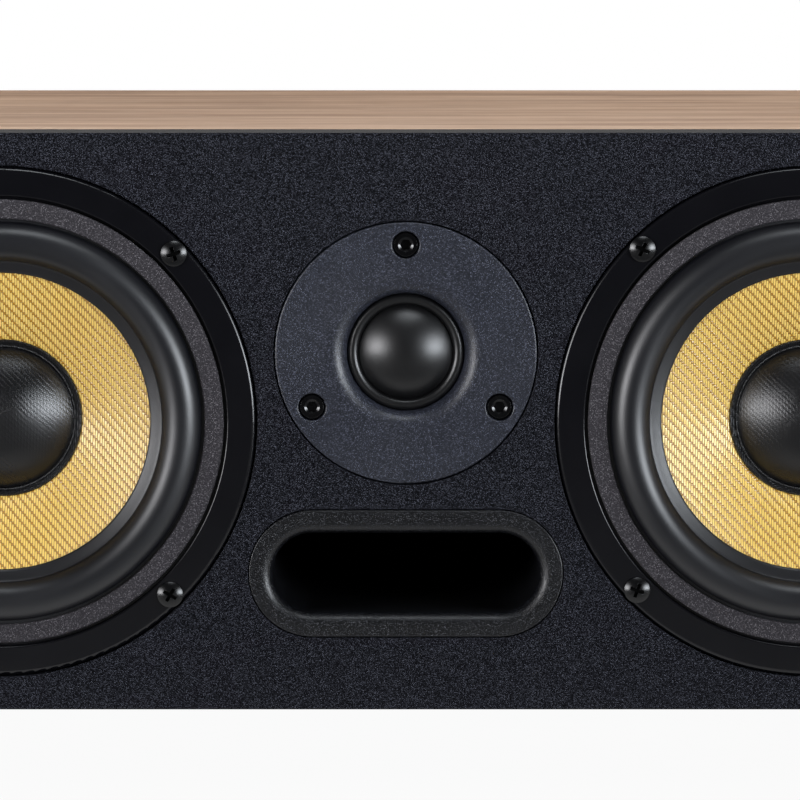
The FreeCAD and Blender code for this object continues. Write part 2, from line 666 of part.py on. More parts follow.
def woofer_screws():
    """The eight screws of both woofers."""
    screw = pan_screw()
    screws = []
    for x in (-WOOFER_X, WOOFER_X):
        for turn, (dx, dz) in zip(SCREW_TURNS, woofer_screw_places()):
            turned = screw.rotated(Vector(0, 0, 0), Vector(0, 1, 0), turn)
            screws.append(at(turned, x + dx, WOOFER_Z + dz))
    return Part.makeCompound(screws)


def tweeter_screws():
    """Three socket-head screws sunk into the faceplate."""
    front = CAP_SCREW_SINK
    neck = front + CAP_SCREW_HEAD_HEIGHT
    screw = rod(CAP_SCREW_HEAD_RADIUS, front, neck)
    screw = rounded(screw, CAP_SCREW_EDGE_ROUND, lambda edge: lies_at(edge, front))
    screw = screw.fuse(rod(CAP_SCREW_SHANK_RADIUS, neck, PLATE_THICKNESS + CAP_SCREW_LENGTH))
    screw = screw.cut(hexagon(CAP_SCREW_HEX, front, front + CAP_SCREW_HEX_DEPTH))
    inner = CAP_SCREW_HEX / 2
    mouth = Part.makeCone(inner + CAP_SCREW_COUNTERSINK_WIDTH, inner, CAP_SCREW_COUNTERSINK_DEPTH,
                          Vector(0, front, 0), Vector(0, 1, 0))
    screw = screw.cut(mouth)
    return Part.makeCompound([at(screw, x, z) for x, z in tweeter_screw_places()])


def tweeter_plate():
    """Faceplate with a rounded horn mouth and counterbores for its screws."""
    mouth = HORN_THROAT_RADIUS + HORN_DEPTH
    outline = Profile(mouth, 0)
    outline.line(PLATE_RADIUS - PLATE_EDGE_ROUND, 0)
    outline.corner((PLATE_RADIUS - PLATE_EDGE_ROUND, PLATE_EDGE_ROUND), PLATE_RADIUS, PLATE_EDGE_ROUND)
    outline.line(PLATE_RADIUS, PLATE_THICKNESS).line(HORN_THROAT_RADIUS, PLATE_THICKNESS)
    outline.line(HORN_THROAT_RADIUS, HORN_DEPTH)
    outline.corner((mouth, HORN_DEPTH), mouth, 0)
    plate = outline.turned()
    sink = CAP_SCREW_SINK + CAP_SCREW_HEAD_HEIGHT
    for x, z in tweeter_screw_places():
        plate = plate.cut(rod(CAP_SCREW_HEAD_RADIUS + COUNTERBORE_CLEARANCE, 0, sink, x, z))
        plate = plate.cut(rod(CAP_SCREW_SHANK_RADIUS + SHANK_CLEARANCE, 0, PLATE_THICKNESS, x, z))

    def of_counterbore(edge):
        return lies_at(edge, 0) and edge.BoundBox.XLength < PLATE_RADIUS

    return rounded(plate, COUNTERBORE_EDGE_ROUND, of_counterbore)


def tweeter_dome(front):
    """Soft dome, its small roll and the flat rim that the faceplate clamps, in one pressed piece."""
    roll = (HORN_THROAT_RADIUS - DOME_RADIUS) / 2
    middle = DOME_RADIUS + roll
    rim = HORN_THROAT_RADIUS + DOME_RIM_WIDTH
    back = front + DOME_THICKNESS
    skirt = [
        ((middle, front - roll), HORN_THROAT_RADIUS, front),
        (rim, front),
        (rim, back),
        (HORN_THROAT_RADIUS - DOME_THICKNESS, back),
        ((middle, front - roll + DOME_THICKNESS), DOME_RADIUS + DOME_THICKNESS, back),
        (DOME_RADIUS, back),
    ]
    return domed(DOME_RADIUS, front, DOME_HEIGHT, DOME_THICKNESS, skirt)


def tweeter_pieces():
    """All pieces of the tweeter about its own axis."""
    dome_back = PLATE_THICKNESS + DOME_THICKNESS
    plate_back = dome_back + TWEETER_TOP_THICKNESS
    magnet_back = plate_back + TWEETER_MAGNET_THICKNESS
    back = magnet_back + TWEETER_BACK_THICKNESS
    coil_inner = DOME_RADIUS - TWEETER_COIL_THICKNESS
    coil_front = dome_back
    strip = block(-STRIP_WIDTH / 2, STRIP_WIDTH / 2, back, back + STRIP_THICKNESS,
                  TWEETER_STRIP_LIFT - STRIP_INSET * 4, TWEETER_STRIP_LIFT + STRIP_INSET * 4)
    for side in (-1, 1):
        middle = side * LUG_PITCH / 2
        lug = block(middle - LUG_WIDTH / 2, middle + LUG_WIDTH / 2, back + STRIP_THICKNESS,
                    back + STRIP_THICKNESS + LUG_LENGTH, TWEETER_STRIP_LIFT - LUG_THICKNESS / 2,
                    TWEETER_STRIP_LIFT + LUG_THICKNESS / 2)
        strip = strip.fuse(lug)
    hole = DOME_RADIUS + TWEETER_COIL_CLEARANCE
    magnet = TWEETER_MOTOR_RADIUS - TWEETER_MAGNET_INSET
    return {
        "tweeter_plate": tweeter_plate(),
        "tweeter_dome": tweeter_dome(PLATE_THICKNESS),
        "tweeter_coil": ring(coil_inner, DOME_RADIUS, coil_front, coil_front + TWEETER_COIL_LENGTH),
        "tweeter_top_plate": ring(hole, TWEETER_MOTOR_RADIUS, dome_back, plate_back),
        "tweeter_magnet": ring(TWEETER_MAGNET_HOLE, magnet, plate_back, magnet_back, STEEL_EDGE),
        "tweeter_yoke": yoke(coil_inner - TWEETER_COIL_CLEARANCE, dome_back, TWEETER_MOTOR_RADIUS,
                             magnet_back, back, TWEETER_VENT_RADIUS, STEEL_EDGE),
        "tweeter_tag_strip": strip.removeSplitter(),
        "tweeter_screws": tweeter_screws(),
    }


def crossover_pieces():
    """Board on spacers in front of the rear panel, with its parts."""
    middle = Vector(BOARD_X, 0, WOOFER_Z)
    half_x = BOARD_WIDTH / 2
    half_z = BOARD_HEIGHT / 2
    board = block(-half_x, half_x, BOARD_FRONT, BOARD_FRONT + BOARD_THICKNESS, -half_z, half_z)
    spacers = []
    for x in (SPACER_INSET - half_x, half_x - SPACER_INSET):
        for z in (SPACER_INSET - half_z, half_z - SPACER_INSET):
            spacers.append(rod(SPACER_RADIUS, BOARD_FRONT + BOARD_THICKNESS, REAR_INNER, x, z))
    winding = ring(INDUCTOR_HOLE, INDUCTOR_RADIUS, BOARD_FRONT - INDUCTOR_HEIGHT, BOARD_FRONT, STEEL_EDGE)
    inductors = [at(winding, x, z) for x, z in INDUCTOR_PLACES]
    capacitors = []
    for x, z in CAPACITOR_PLACES:
        start = Vector(x - CAPACITOR_LENGTH / 2, BOARD_FRONT - CAPACITOR_RADIUS, z)
        capacitor = Part.makeCylinder(CAPACITOR_RADIUS, CAPACITOR_LENGTH, start, Vector(1, 0, 0))
        capacitors.append(capacitor.makeFillet(STEEL_EDGE, [capacitor.Edges[0], capacitor.Edges[2]]))
    resistors = []
    length, deep, high = RESISTOR_SIZE
    for x, z in RESISTOR_PLACES:
        resistors.append(block(x - length / 2, x + length / 2, BOARD_FRONT - deep, BOARD_FRONT,
                               z - high / 2, z + high / 2))
    shapes = {
        "crossover_board": board,
        "crossover_spacers": Part.makeCompound(spacers),
        "crossover_coils": Part.makeCompound(inductors),
        "crossover_capacitors": Part.makeCompound(capacitors),
        "crossover_resistors": Part.makeCompound(resistors),
    }
    return {name: shape.translated(middle) for name, shape in shapes.items()}


def wadding_pieces():
    """Damping pads under the top panel and on the rear panel beside the terminals."""
    inner = CABINET_WIDTH / 2 - PANEL_THICKNESS
    high = CABINET_HEIGHT - PANEL_THICKNESS
    front = BASE_BACK + TOP_PLATE_THICKNESS + MAGNET_THICKNESS + BACK_PLATE_THICKNESS
    back = REAR_INNER - WADDING_MARGIN - WADDING_THICKNESS
    top = block(WADDING_MARGIN - inner, inner - WADDING_MARGIN, front, back, high - WADDING_THICKNESS, high)
    start = WADDING_MARGIN - inner
    rear = block(start, start + REAR_WADDING_WIDTH, REAR_INNER - WADDING_THICKNESS, REAR_INNER,
                 PANEL_THICKNESS, high)
    return {"top_wadding": top, "rear_wadding": rear}


def terminal_pieces():
    """Two binding posts through the rear panel, each a stud, an insulating base, a washer and a knob."""
    stud_end = KNOB_FRONT + KNOB_LENGTH
    running = STUD_RADIUS + THREAD_CLEARANCE
    stud = rod(STUD_RADIUS, STUD_FRONT, stud_end)
    stud = stud.fuse(rod(COLLAR_RADIUS, COLLAR_FRONT, WASHER_FRONT)).removeSplitter()
    stud = stud.cut(rod(SOCKET_RADIUS, stud_end - SOCKET_DEPTH, stud_end))
    knob = ring(running, KNOB_RADIUS, KNOB_FRONT, stud_end, KNOB_EDGE)
    for x, z in around(KNOB_FLUTES, KNOB_RADIUS, 0):
        knob = knob.cut(rod(KNOB_FLUTE_RADIUS, KNOB_FRONT + KNOB_EDGE, stud_end, x, z))
    post = {
        "stud": stud,
        "base": ring(STUD_RADIUS + SHANK_CLEARANCE, POST_BASE_RADIUS, CABINET_DEPTH, COLLAR_FRONT,
                     KNOB_EDGE),
        "washer": ring(running, PRESSURE_WASHER_RADIUS, WASHER_FRONT, KNOB_FRONT),
        "knob": knob,
    }
    nut = hexagon(NUT_FLATS, REAR_INNER - NUT_HEIGHT, REAR_INNER)
    nut = nut.cut(rod(running, REAR_INNER - NUT_HEIGHT, REAR_INNER))
    shapes = {}
    nuts = []
    for colour, x in (("red", -POST_PITCH / 2), ("black", POST_PITCH / 2)):
        for name, shape in post.items():
            shapes[colour + "_" + name] = at(shape, x, WOOFER_Z)
        nuts.append(at(nut, x, WOOFER_Z))
    shapes["post_nuts"] = Part.makeCompound(nuts)
    return shapes


def lead(points):
    """Round wire along straight runs at right angles, joined by tangent arcs."""
    edges = []
    start = points[0]
    for before, corner, after in zip(points, points[1:], points[2:]):
        bend = min(LEAD_BEND, 0.45 * min((corner - before).Length, (after - corner).Length))
        into = (corner - before).normalize()
        out = (after - corner).normalize()
        first = corner - into * bend
        last = corner + out * bend
        centre = first + out * bend
        via = centre + (corner - centre).normalize() * bend
        edges.append(Part.LineSegment(start, first).toShape())
        edges.append(Part.Arc(first, via, last).toShape())
        start = last
    edges.append(Part.LineSegment(start, points[-1]).toShape())
    section = Part.Wire(Part.makeCircle(LEAD_RADIUS, points[0], points[1] - points[0]))
    return Part.Wire(edges).makePipeShell([section], True, False)


def lead_run(x, front, z, turn, pad):
    """One wire at one height: back from its start, across at the turn and on to a pad on the board."""
    return lead([Vector(x, front, z), Vector(x, turn, z), Vector(pad, turn, z), Vector(pad, BOARD_FRONT, z)])


def lead_pieces():
    """Pairs of wires from each driver and from the binding posts to the crossover board."""
    pads = [BOARD_X - BOARD_WIDTH / 2 + LEAD_LANDING * step for step in range(1, 5)]
    turn = (PORT_LENGTH + BOARD_FRONT) / 2
    later = turn + LEAD_BEND
    lug = WOOFER_X - TOP_PLATE_RADIUS - STRIP_LENGTH - LUG_LENGTH / 2
    lug_back = BASE_BACK + STRIP_THICKNESS + LUG_THICKNESS
    low = WOOFER_Z - LUG_PITCH / 2
    high = WOOFER_Z + LUG_PITCH / 2
    tweeter_lug = (PLATE_THICKNESS + DOME_THICKNESS + TWEETER_TOP_THICKNESS + TWEETER_MAGNET_THICKNESS
                   + TWEETER_BACK_THICKNESS + STRIP_THICKNESS + LUG_LENGTH)
    height = TWEETER_Z + TWEETER_STRIP_LIFT
    close = BOARD_FRONT - LEAD_BEND
    pairs = {
        "left_woofer_leads": [(-lug, lug_back, low, later, pads[0]), (-lug, lug_back, high, later, pads[0])],
        "right_woofer_leads": [(lug, lug_back, low, turn, pads[2]), (lug, lug_back, high, turn, pads[2])],
        "tweeter_leads": [(-LUG_PITCH / 2, tweeter_lug, height, later, pads[1]),
                          (LUG_PITCH / 2, tweeter_lug, height, turn, pads[2])],
        "input_leads": [(-POST_PITCH / 2, STUD_FRONT, WOOFER_Z, close - LEAD_LANDING, pads[3]),
                        (POST_PITCH / 2, STUD_FRONT, WOOFER_Z, close, pads[1])],
    }
    return {name: Part.makeCompound([lead_run(*way) for way in ways]) for name, ways in pairs.items()}


def speaker():
    """Every piece by name, with depth still measured from the baffle's front face."""
    shapes = panels()
    shapes["front_baffle"] = front_baffle()
    shapes["port_tube"] = port_tube()
    shapes.update(wadding_pieces())
    for side, x in (("left", -WOOFER_X), ("right", WOOFER_X)):
        for name, shape in woofer_pieces(-x).items():
            shapes[side + "_" + name] = at(shape, x, WOOFER_Z)
    shapes["woofer_screws"] = woofer_screws()
    for name, shape in tweeter_pieces().items():
        shapes[name] = at(shape, 0, TWEETER_Z)
    shapes.update(crossover_pieces())
    shapes.update(terminal_pieces())
    shapes.update(lead_pieces())
    return shapes


os.makedirs("parts", exist_ok=True)
for piece, solid in speaker().items():
    solid.translated(Vector(0, -CABINET_DEPTH / 2, 0)).exportStep("parts/" + piece + ".step")
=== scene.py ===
"""Looks of the centre channel loudspeaker: its finishes, the pieces modelled here, the stage and the camera.

Metres, in the frame's own axes: X to the right seen from the front, Y to the back and Z up. The drivers'
outlines are given in millimetres as radius and depth behind the baffle's front face.
"""

import logging
import math
from collections.abc import Callable
from dataclasses import dataclass, field
from enum import Enum

import bpy
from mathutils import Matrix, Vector
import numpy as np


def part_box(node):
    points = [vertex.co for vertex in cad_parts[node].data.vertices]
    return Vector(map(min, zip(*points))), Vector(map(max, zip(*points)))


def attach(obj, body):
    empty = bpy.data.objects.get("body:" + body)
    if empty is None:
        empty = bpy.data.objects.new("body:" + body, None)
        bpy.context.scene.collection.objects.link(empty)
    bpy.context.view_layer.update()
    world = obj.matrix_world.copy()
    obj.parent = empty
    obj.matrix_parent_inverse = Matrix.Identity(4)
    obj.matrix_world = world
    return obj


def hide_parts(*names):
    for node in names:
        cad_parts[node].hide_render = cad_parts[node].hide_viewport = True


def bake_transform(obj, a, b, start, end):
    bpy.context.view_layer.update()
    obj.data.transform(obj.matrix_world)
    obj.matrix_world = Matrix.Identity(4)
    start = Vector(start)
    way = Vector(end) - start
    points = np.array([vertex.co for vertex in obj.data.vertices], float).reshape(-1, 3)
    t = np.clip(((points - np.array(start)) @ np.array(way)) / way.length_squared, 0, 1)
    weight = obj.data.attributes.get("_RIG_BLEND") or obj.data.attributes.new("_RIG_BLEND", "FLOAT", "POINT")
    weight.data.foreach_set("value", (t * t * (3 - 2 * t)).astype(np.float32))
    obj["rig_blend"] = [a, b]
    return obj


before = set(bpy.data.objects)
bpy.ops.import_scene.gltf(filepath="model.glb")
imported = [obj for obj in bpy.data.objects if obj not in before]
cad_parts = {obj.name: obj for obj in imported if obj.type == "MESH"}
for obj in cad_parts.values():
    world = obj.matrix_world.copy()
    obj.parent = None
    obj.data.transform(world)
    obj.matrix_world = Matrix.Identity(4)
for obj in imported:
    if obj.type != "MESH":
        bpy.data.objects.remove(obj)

LOG = logging.getLogger("speaker")
# Where a flexing piece keeps, point by point, how far it follows the second of its two bodies.
BLEND_WEIGHTS = "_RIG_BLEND"
MM = 0.001
# Points closer than this are merged.
WELD = MM * 0.001
# A face looks a given way when more than this share of its normal does.
FACING = 0.9
# Edges flatter than this are shaded smooth.
SMOOTH_BELOW = math.radians(40)

Colour = tuple[float, float, float, float]
Point = tuple[float, float, float]
Step = tuple[float, float]

WHITE: Colour = (1.0, 1.0, 1.0, 1.0)
SOCKET_KINDS = {1: "NodeSocketFloat", 3: "NodeSocketVector", 4: "NodeSocketColor"}


def tone(red: int, green: int, blue: int) -> Colour:
    """Turn a colour as seen on a screen into the linear values that shaders take.

    Args:
        red: Red from 0 to 255.
        green: Green from 0 to 255.
        blue: Blue from 0 to 255.

    Returns:
        The linear colour with an opaque fourth value.
    """
    linear = []
    for level in (red, green, blue):
        share = level / 255
        linear.append(share / 12.92 if share <= 0.04045 else ((share + 0.055) / 1.055) ** 2.4)
    return (linear[0], linear[1], linear[2], 1.0)


class Side(Enum):
    """The two woofers, with the sign of their X."""

    LEFT = -1
    RIGHT = 1

    @property
    def word(self) -> str:
        """The side's name as the nodes spell it."""
        return self.name.lower()


class Post(Enum):
    """The two binding posts."""

    RED = "red"
    BLACK = "black"


class Run(Enum):
    """Which way the wood grain runs, as the turn about Y that lays it along X."""

    LEVEL = 0.0
    UPRIGHT = math.pi / 2


class Graph:
    """One shader tree, with short calls that add a node and wire it."""

    def __init__(self, tree: bpy.types.NodeTree) -> None:
        """Keep the tree that the nodes go into."""
        self.tree = tree

    def feed(self, socket: bpy.types.NodeSocket, value: object) -> None:
        """Link a socket to the input, or set the input to a plain value.

        Args:
            socket: The input.
            value: An output socket, a number or a colour.
        """
        if isinstance(value, bpy.types.NodeSocket):
            self.tree.links.new(value, socket)
        else:
            socket.default_value = value

    def node(self, kind: str, inputs: dict[str | int, object] | None = None,
             **settings: object) -> bpy.types.Node:
        """Add a node.

        Args:
            kind: The node's type.
            inputs: Values or sockets by the input's name or number.
            settings: Properties of the node itself.

        Returns:
            The new node.
        """
        node = self.tree.nodes.new(kind)
        for name, value in settings.items():
            setattr(node, name, value)
        for key, value in (inputs or {}).items():
            self.feed(node.inputs[key], value)
        return node

    def maths(self, operation: str, first: object, second: object = 0.0) -> bpy.types.NodeSocket:
        """Add a Math node and return its result."""
        return self.node("ShaderNodeMath", {0: first, 1: second}, operation=operation).outputs[0]

    def spread(self, value: object, low: object, high: object, start: object,
               end: object) -> bpy.types.NodeSocket:
        """Map a value from low..high to start..end, held at both ends.

        Args:
            value: The value to map.
            low: Where the range begins.
            high: Where it ends.
            start: Result at and below low.
            end: Result at and above high.

        Returns:
            The mapped value.
        """
        inputs = {"Value": value, "From Min": low, "From Max": high, "To Min": start, "To Max": end}
        return self.node("ShaderNodeMapRange", inputs).outputs["Result"]

    def mix(self, share: object, first: object, second: object) -> bpy.types.NodeSocket:
        """Mix two colours by a share and return the result."""
        node = self.node("ShaderNodeMix", {0: share, 6: first, 7: second}, data_type="RGBA")
        return node.outputs[2]

    def noise(self, place: object, scale: object, detail: float = 2.0) -> bpy.types.NodeSocket:
        """Add a noise texture and return its value."""
        inputs = {"Vector": place, "Scale": scale, "Detail": detail}
        return self.node("ShaderNodeTexNoise", inputs).outputs["Fac"]

    def laid(self, place: object, turn: Point = (0, 0, 0), scale: Point = (1, 1, 1)) -> bpy.types.NodeSocket:
        """Turn and stretch a pattern's coordinates with a Mapping node."""
        node = self.node("ShaderNodeMapping", {"Vector": place, "Rotation": turn, "Scale": scale})
        return node.outputs["Vector"]

    def place(self) -> bpy.types.NodeSocket:
        """Coordinates of the piece itself, which are the frame's metres."""
        return self.node("ShaderNodeTexCoord").outputs["Object"]


class Effect:
    """A shader node group that several finishes share, built the first time it is placed."""

    name = ""
    inputs: dict[str, object] = {}
    outputs: dict[str, str] = {}

    @classmethod
    def wire(cls, graph: Graph, given: bpy.types.Node, result: bpy.types.Node) -> None:
        """Wire the group's inside; each effect has its own.

        Args:
            graph: The group's tree.
            given: The node that holds the group's inputs.
            result: The node that takes the group's outputs.
        """
        raise NotImplementedError

    @classmethod
    def tree(cls) -> bpy.types.NodeTree:
        """Find the group's tree, or build it if it isn't there yet.

        Returns:
            The tree.
        """
        known = bpy.data.node_groups.get(cls.name)
        if known:
            return known
        tree = bpy.data.node_groups.new(cls.name, "ShaderNodeTree")
        for name, value in cls.inputs.items():
            kind = SOCKET_KINDS[len(value) if isinstance(value, tuple) else 1]
            socket = tree.interface.new_socket(name, in_out="INPUT", socket_type=kind)
            socket.default_value = value
        for name, kind in cls.outputs.items():
            tree.interface.new_socket(name, in_out="OUTPUT", socket_type=kind)
        graph = Graph(tree)
        cls.wire(graph, graph.node("NodeGroupInput"), graph.node("NodeGroupOutput"))
        return tree

    @classmethod
    def put(cls, graph: Graph, **values: object) -> bpy.types.Node:
        """Place the group in a material.

        Args:
            graph: The material's tree.
            values: Values or sockets by input name.

        Returns:
            The group node.
        """
        node = graph.node("ShaderNodeGroup", node_tree=cls.tree())
        for key, value in values.items():
            graph.feed(node.inputs[key], value)
        return node


class Speckle(Effect):
    """Fine grain with sparse bright flecks, as on textured paint and moulded plastic.

    Attributes:
        crown_reach: Distances from a grain's middle between which it fades.
        mottle_pace: Fineness of the mottle, as a share of the grain's.
        mottle_reach: Values of the mottle's noise between which it comes in.
        mottle_share: How much of the flecks' colour it brings at most.
    """

    name = "Grain Speckle"
    inputs = {"Place": (0.0, 0.0, 0.0), "Grain": 0.0004, "Base": (0.02, 0.02, 0.02, 1.0),
              "Fleck": (0.1, 0.1, 0.1, 1.0), "Share": 0.4}
    outputs = {"Colour": "NodeSocketColor", "Height": "NodeSocketFloat"}
    crown_reach = (0.1, 0.6)
    mottle_pace = 0.8
    mottle_reach = (0.45, 0.75)
    mottle_share = 0.12

    @classmethod
    def wire(cls, graph: Graph, given: bpy.types.Node, result: bpy.types.Node) -> None:
        """Wire cells with one grain each, of which a share is bright, over a faint mottle.

        Args:
            graph: The group's tree.
            given: The node that holds the group's inputs.
            result: The node that takes the group's outputs.
        """
        put = given.outputs
        pace = graph.maths("DIVIDE", 1.0, put["Grain"])
        cells = graph.node("ShaderNodeTexVoronoi", {"Vector": put["Place"], "Scale": pace})
        lot = graph.node("ShaderNodeSeparateColor", {0: cells.outputs["Color"]}).outputs[0]
        crown = graph.spread(cells.outputs["Distance"], *cls.crown_reach, 1.0, 0.0)
        bright = graph.spread(lot, graph.maths("SUBTRACT", 1.0, put["Share"]), 1.0, 0.0, 1.0)
        mottle = graph.noise(put["Place"], graph.maths("MULTIPLY", pace, cls.mottle_pace))
        fleck = graph.maths("ADD", graph.maths("MULTIPLY", crown, bright),
                            graph.spread(mottle, *cls.mottle_reach, 0.0, cls.mottle_share))
        graph.feed(result.inputs["Colour"], graph.mix(fleck, put["Base"], put["Fleck"]))
        graph.feed(result.inputs["Height"], graph.maths("MULTIPLY", crown, lot))


class Drift(Effect):
    """Slow change over a surface, such as faint smears and uneven gloss.

    Attributes:
        cloud_detail: Detail of the noise.
        cloud_reach: Values of the noise that give the lowest and the highest result.
    """

    name = "Gloss Drift"
    inputs = {"Place": (0.0, 0.0, 0.0), "Size": 0.03, "Low": 0.4, "High": 0.5}
    outputs = {"Value": "NodeSocketFloat"}
    cloud_detail = 4.0
    cloud_reach = (0.3, 0.7)

    @classmethod
    def wire(cls, graph: Graph, given: bpy.types.Node, result: bpy.types.Node) -> None:
        """Wire one large noise to the range that the material gives.

        Args:
            graph: The group's tree.
            given: The node that holds the group's inputs.
            result: The node that takes the group's outputs.
        """
        put = given.outputs
        cloud = graph.noise(put["Place"], graph.maths("DIVIDE", 1.0, put["Size"]), cls.cloud_detail)
        value = graph.spread(cloud, *cls.cloud_reach, put["Low"], put["High"])
        graph.feed(result.inputs["Value"], value)


class Twill(Effect):
    """Cloth whose upright yarns pass over three level ones and under the fourth, seen from the front.

    Attributes:
        repeat: Yarns after which the weave repeats.
        passed_over: Level yarns that an upright one passes over.
        end_dip: How far a yarn dips at its ends, as a share of its height.
    """

    name = "Twill Weave"
    inputs = {"Place": (0.0, 0.0, 0.0), "Across": 0.00066, "Along": 0.00062}
    outputs = {"Height": "NodeSocketFloat", "Upright": "NodeSocketFloat"}
    repeat = 4.0
    passed_over = 3.0
    end_dip = 0.6

    @classmethod
    def float_height(cls, graph: Graph, across: object, along: object) -> bpy.types.NodeSocket:
        """Height of one yarn where it lies on top.

        Args:
            graph: The group's tree.
            across: From 0 to 1 over the yarn's width.
            along: From 0 to 1 over the length that shows.

        Returns:
            One on the yarn's crown, falling to its sides and ends.
        """
        sides = graph.maths("SUBTRACT", graph.maths("MULTIPLY", across, 2.0), 1.0)
        ends = graph.maths("SUBTRACT", graph.maths("MULTIPLY", along, 2.0), 1.0)
        round_sides = graph.maths("SUBTRACT", 1.0, graph.maths("MULTIPLY", sides, sides))
        dip = graph.maths("MULTIPLY", graph.maths("MULTIPLY", ends, ends), cls.end_dip)
        return graph.maths("MULTIPLY", round_sides, graph.maths("SUBTRACT", 1.0, dip))

    @classmethod
    def wire(cls, graph: Graph, given: bpy.types.Node, result: bpy.types.Node) -> None:
        """Wire the yarn count that says which yarn is on top, and the height of both yarns.

        Args:
            graph: The group's tree.
            given: The node that holds the group's inputs.
            result: The node that takes the group's outputs.
        """
        put = given.outputs
        parts = graph.node("ShaderNodeSeparateXYZ", {0: put["Place"]})
        column = graph.maths("DIVIDE", parts.outputs["X"], put["Across"])
        row = graph.maths("DIVIDE", parts.outputs["Z"], put["Along"])
        whole = graph.maths("ADD", graph.maths("FLOOR", column), graph.maths("FLOOR", row))
        count = graph.maths("FLOORED_MODULO", whole, cls.repeat)
        upright = graph.maths("LESS_THAN", count, cls.passed_over - 0.5)
        in_column = graph.maths("FRACT", column)
        in_row = graph.maths("FRACT", row)
        up_along = graph.maths("DIVIDE", graph.maths("ADD", count, in_row), cls.passed_over)
        up_height = cls.float_height(graph, in_column, up_along)
        level_height = cls.float_height(graph, in_row, in_column)
        gain = graph.maths("MULTIPLY", graph.maths("SUBTRACT", up_height, level_height), upright)
        graph.feed(result.inputs["Height"], graph.maths("ADD", level_height, gain))
        graph.feed(result.inputs["Upright"], upright)


class Wood(Effect):
    """Long wood grain along X: broad bands, shorter streaks, fine fibres and short dark pores.

    Attributes:
        bands_scale: Fineness of the bands along X, Y and Z, and so on for the other three.
        bands_share: Weight of the bands in the blend of light and dark, and so on for streaks and fibres.
        pores_reach: Values of the pores' noise between which they come in.
        pores_share: How much of their colour they bring at most.
        pores_depth: How deep they lie, against the fibres' relief.
        blend_reach: Values of the blend that give the dark and the light tone.
    """

    name = "Wood Grain"
    inputs = {"Place": (0.0, 0.0, 0.0), "Light": (0.5, 0.38, 0.3, 1.0), "Dark": (0.3, 0.2, 0.14, 1.0),
              "Pore": (0.2, 0.13, 0.09, 1.0)}
    outputs = {"Colour": "NodeSocketColor", "Height": "NodeSocketFloat"}
    bands_scale = (2.2, 26.0, 26.0)
    bands_share = 0.25
    streaks_scale = (9.0, 88.0, 88.0)
    streaks_share = 0.4
    fibres_scale = (9.0, 420.0, 420.0)
    fibres_share = 0.35
    pores_scale = (55.0, 900.0, 900.0)
    pores_reach = (0.60, 0.72)
    pores_share = 0.55
    pores_depth = 0.8
    blend_reach = (0.38, 0.62)

    @classmethod
    def wire(cls, graph: Graph, given: bpy.types.Node, result: bpy.types.Node) -> None:
        """Wire four stretched noises: bands, streaks, fibres and pores.

        Args:
            graph: The group's tree.
            given: The node that holds the group's inputs.
            result: The node that takes the group's outputs.
        """
        put = given.outputs
        bands = graph.noise(graph.laid(put["Place"], scale=cls.bands_scale), 1.0, detail=4.0)
        streaks = graph.noise(graph.laid(put["Place"], scale=cls.streaks_scale), 1.0, detail=3.0)
        fibres = graph.noise(graph.laid(put["Place"], scale=cls.fibres_scale), 1.0, detail=5.0)
        pores = graph.noise(graph.laid(put["Place"], scale=cls.pores_scale), 1.0, detail=2.0)
        blend = graph.maths("ADD", graph.maths("MULTIPLY", bands, cls.bands_share),
                            graph.maths("MULTIPLY", fibres, cls.fibres_share))
        blend = graph.maths("ADD", blend, graph.maths("MULTIPLY", streaks, cls.streaks_share))
        ground = graph.mix(graph.spread(blend, *cls.blend_reach, 0.0, 1.0), put["Dark"], put["Light"])
        cut = graph.spread(pores, *cls.pores_reach, 0.0, cls.pores_share)
        graph.feed(result.inputs["Colour"], graph.mix(cut, ground, put["Pore"]))
        depth = graph.maths("SUBTRACT", fibres, graph.maths("MULTIPLY", cut, cls.pores_depth))
        graph.feed(result.inputs["Height"], depth)


@dataclass(frozen=True)
class Finish:
    """What all finishes share: a name, one Principled shader and a bump.

    Attributes:
        name: The material's name.
        roughness: Lowest and highest roughness.
        specular: Specular level of the shader.
        bump: Depth of the surface's relief in metres.
        metallic: Whether the surface is bare metal.
    """

    name: str
    roughness: tuple[float, float] = (0.4, 0.5)
    specular: float = 0.5
    bump: float = 0.00005
    metallic: bool = False

    def colour_and_height(self, graph: Graph, place: bpy.types.NodeSocket) -> tuple[object, object]:
        """Wire the finish's own pattern; each kind of finish has its own.

        Args:
            graph: The material's tree.
            place: The piece's coordinates.

        Returns:
            The colour and the height of the relief.
        """
        raise NotImplementedError

    def trim(self, shader: bpy.types.Node) -> None:
        """Set plain values that only some finishes have."""

    def material(self) -> bpy.types.Material:
        """Build the material, or return it if it is already there.

        Returns:
            The material.
        """
        known = bpy.data.materials.get(self.name)
        if known:
            return known
        material = bpy.data.materials.new(self.name)
        material.use_nodes = True
        graph = Graph(material.node_tree)
        shader = material.node_tree.nodes["Principled BSDF"]
        place = graph.place()
        colour, height = self.colour_and_height(graph, place)
        graph.feed(shader.inputs["Base Color"], colour)
        low, high = self.roughness
        gloss = Drift.put(graph, Place=place, Low=low, High=high)
        graph.feed(shader.inputs["Roughness"], gloss.outputs["Value"])
        shader.inputs["Specular IOR Level"].default_value = self.specular
        shader.inputs["Metallic"].default_value = float(self.metallic)
        relief = graph.node("ShaderNodeBump", {"Height": height, "Strength": 1.0, "Distance": self.bump})
        graph.feed(shader.inputs["Normal"], relief.outputs["Normal"])
        self.trim(shader)
        return material


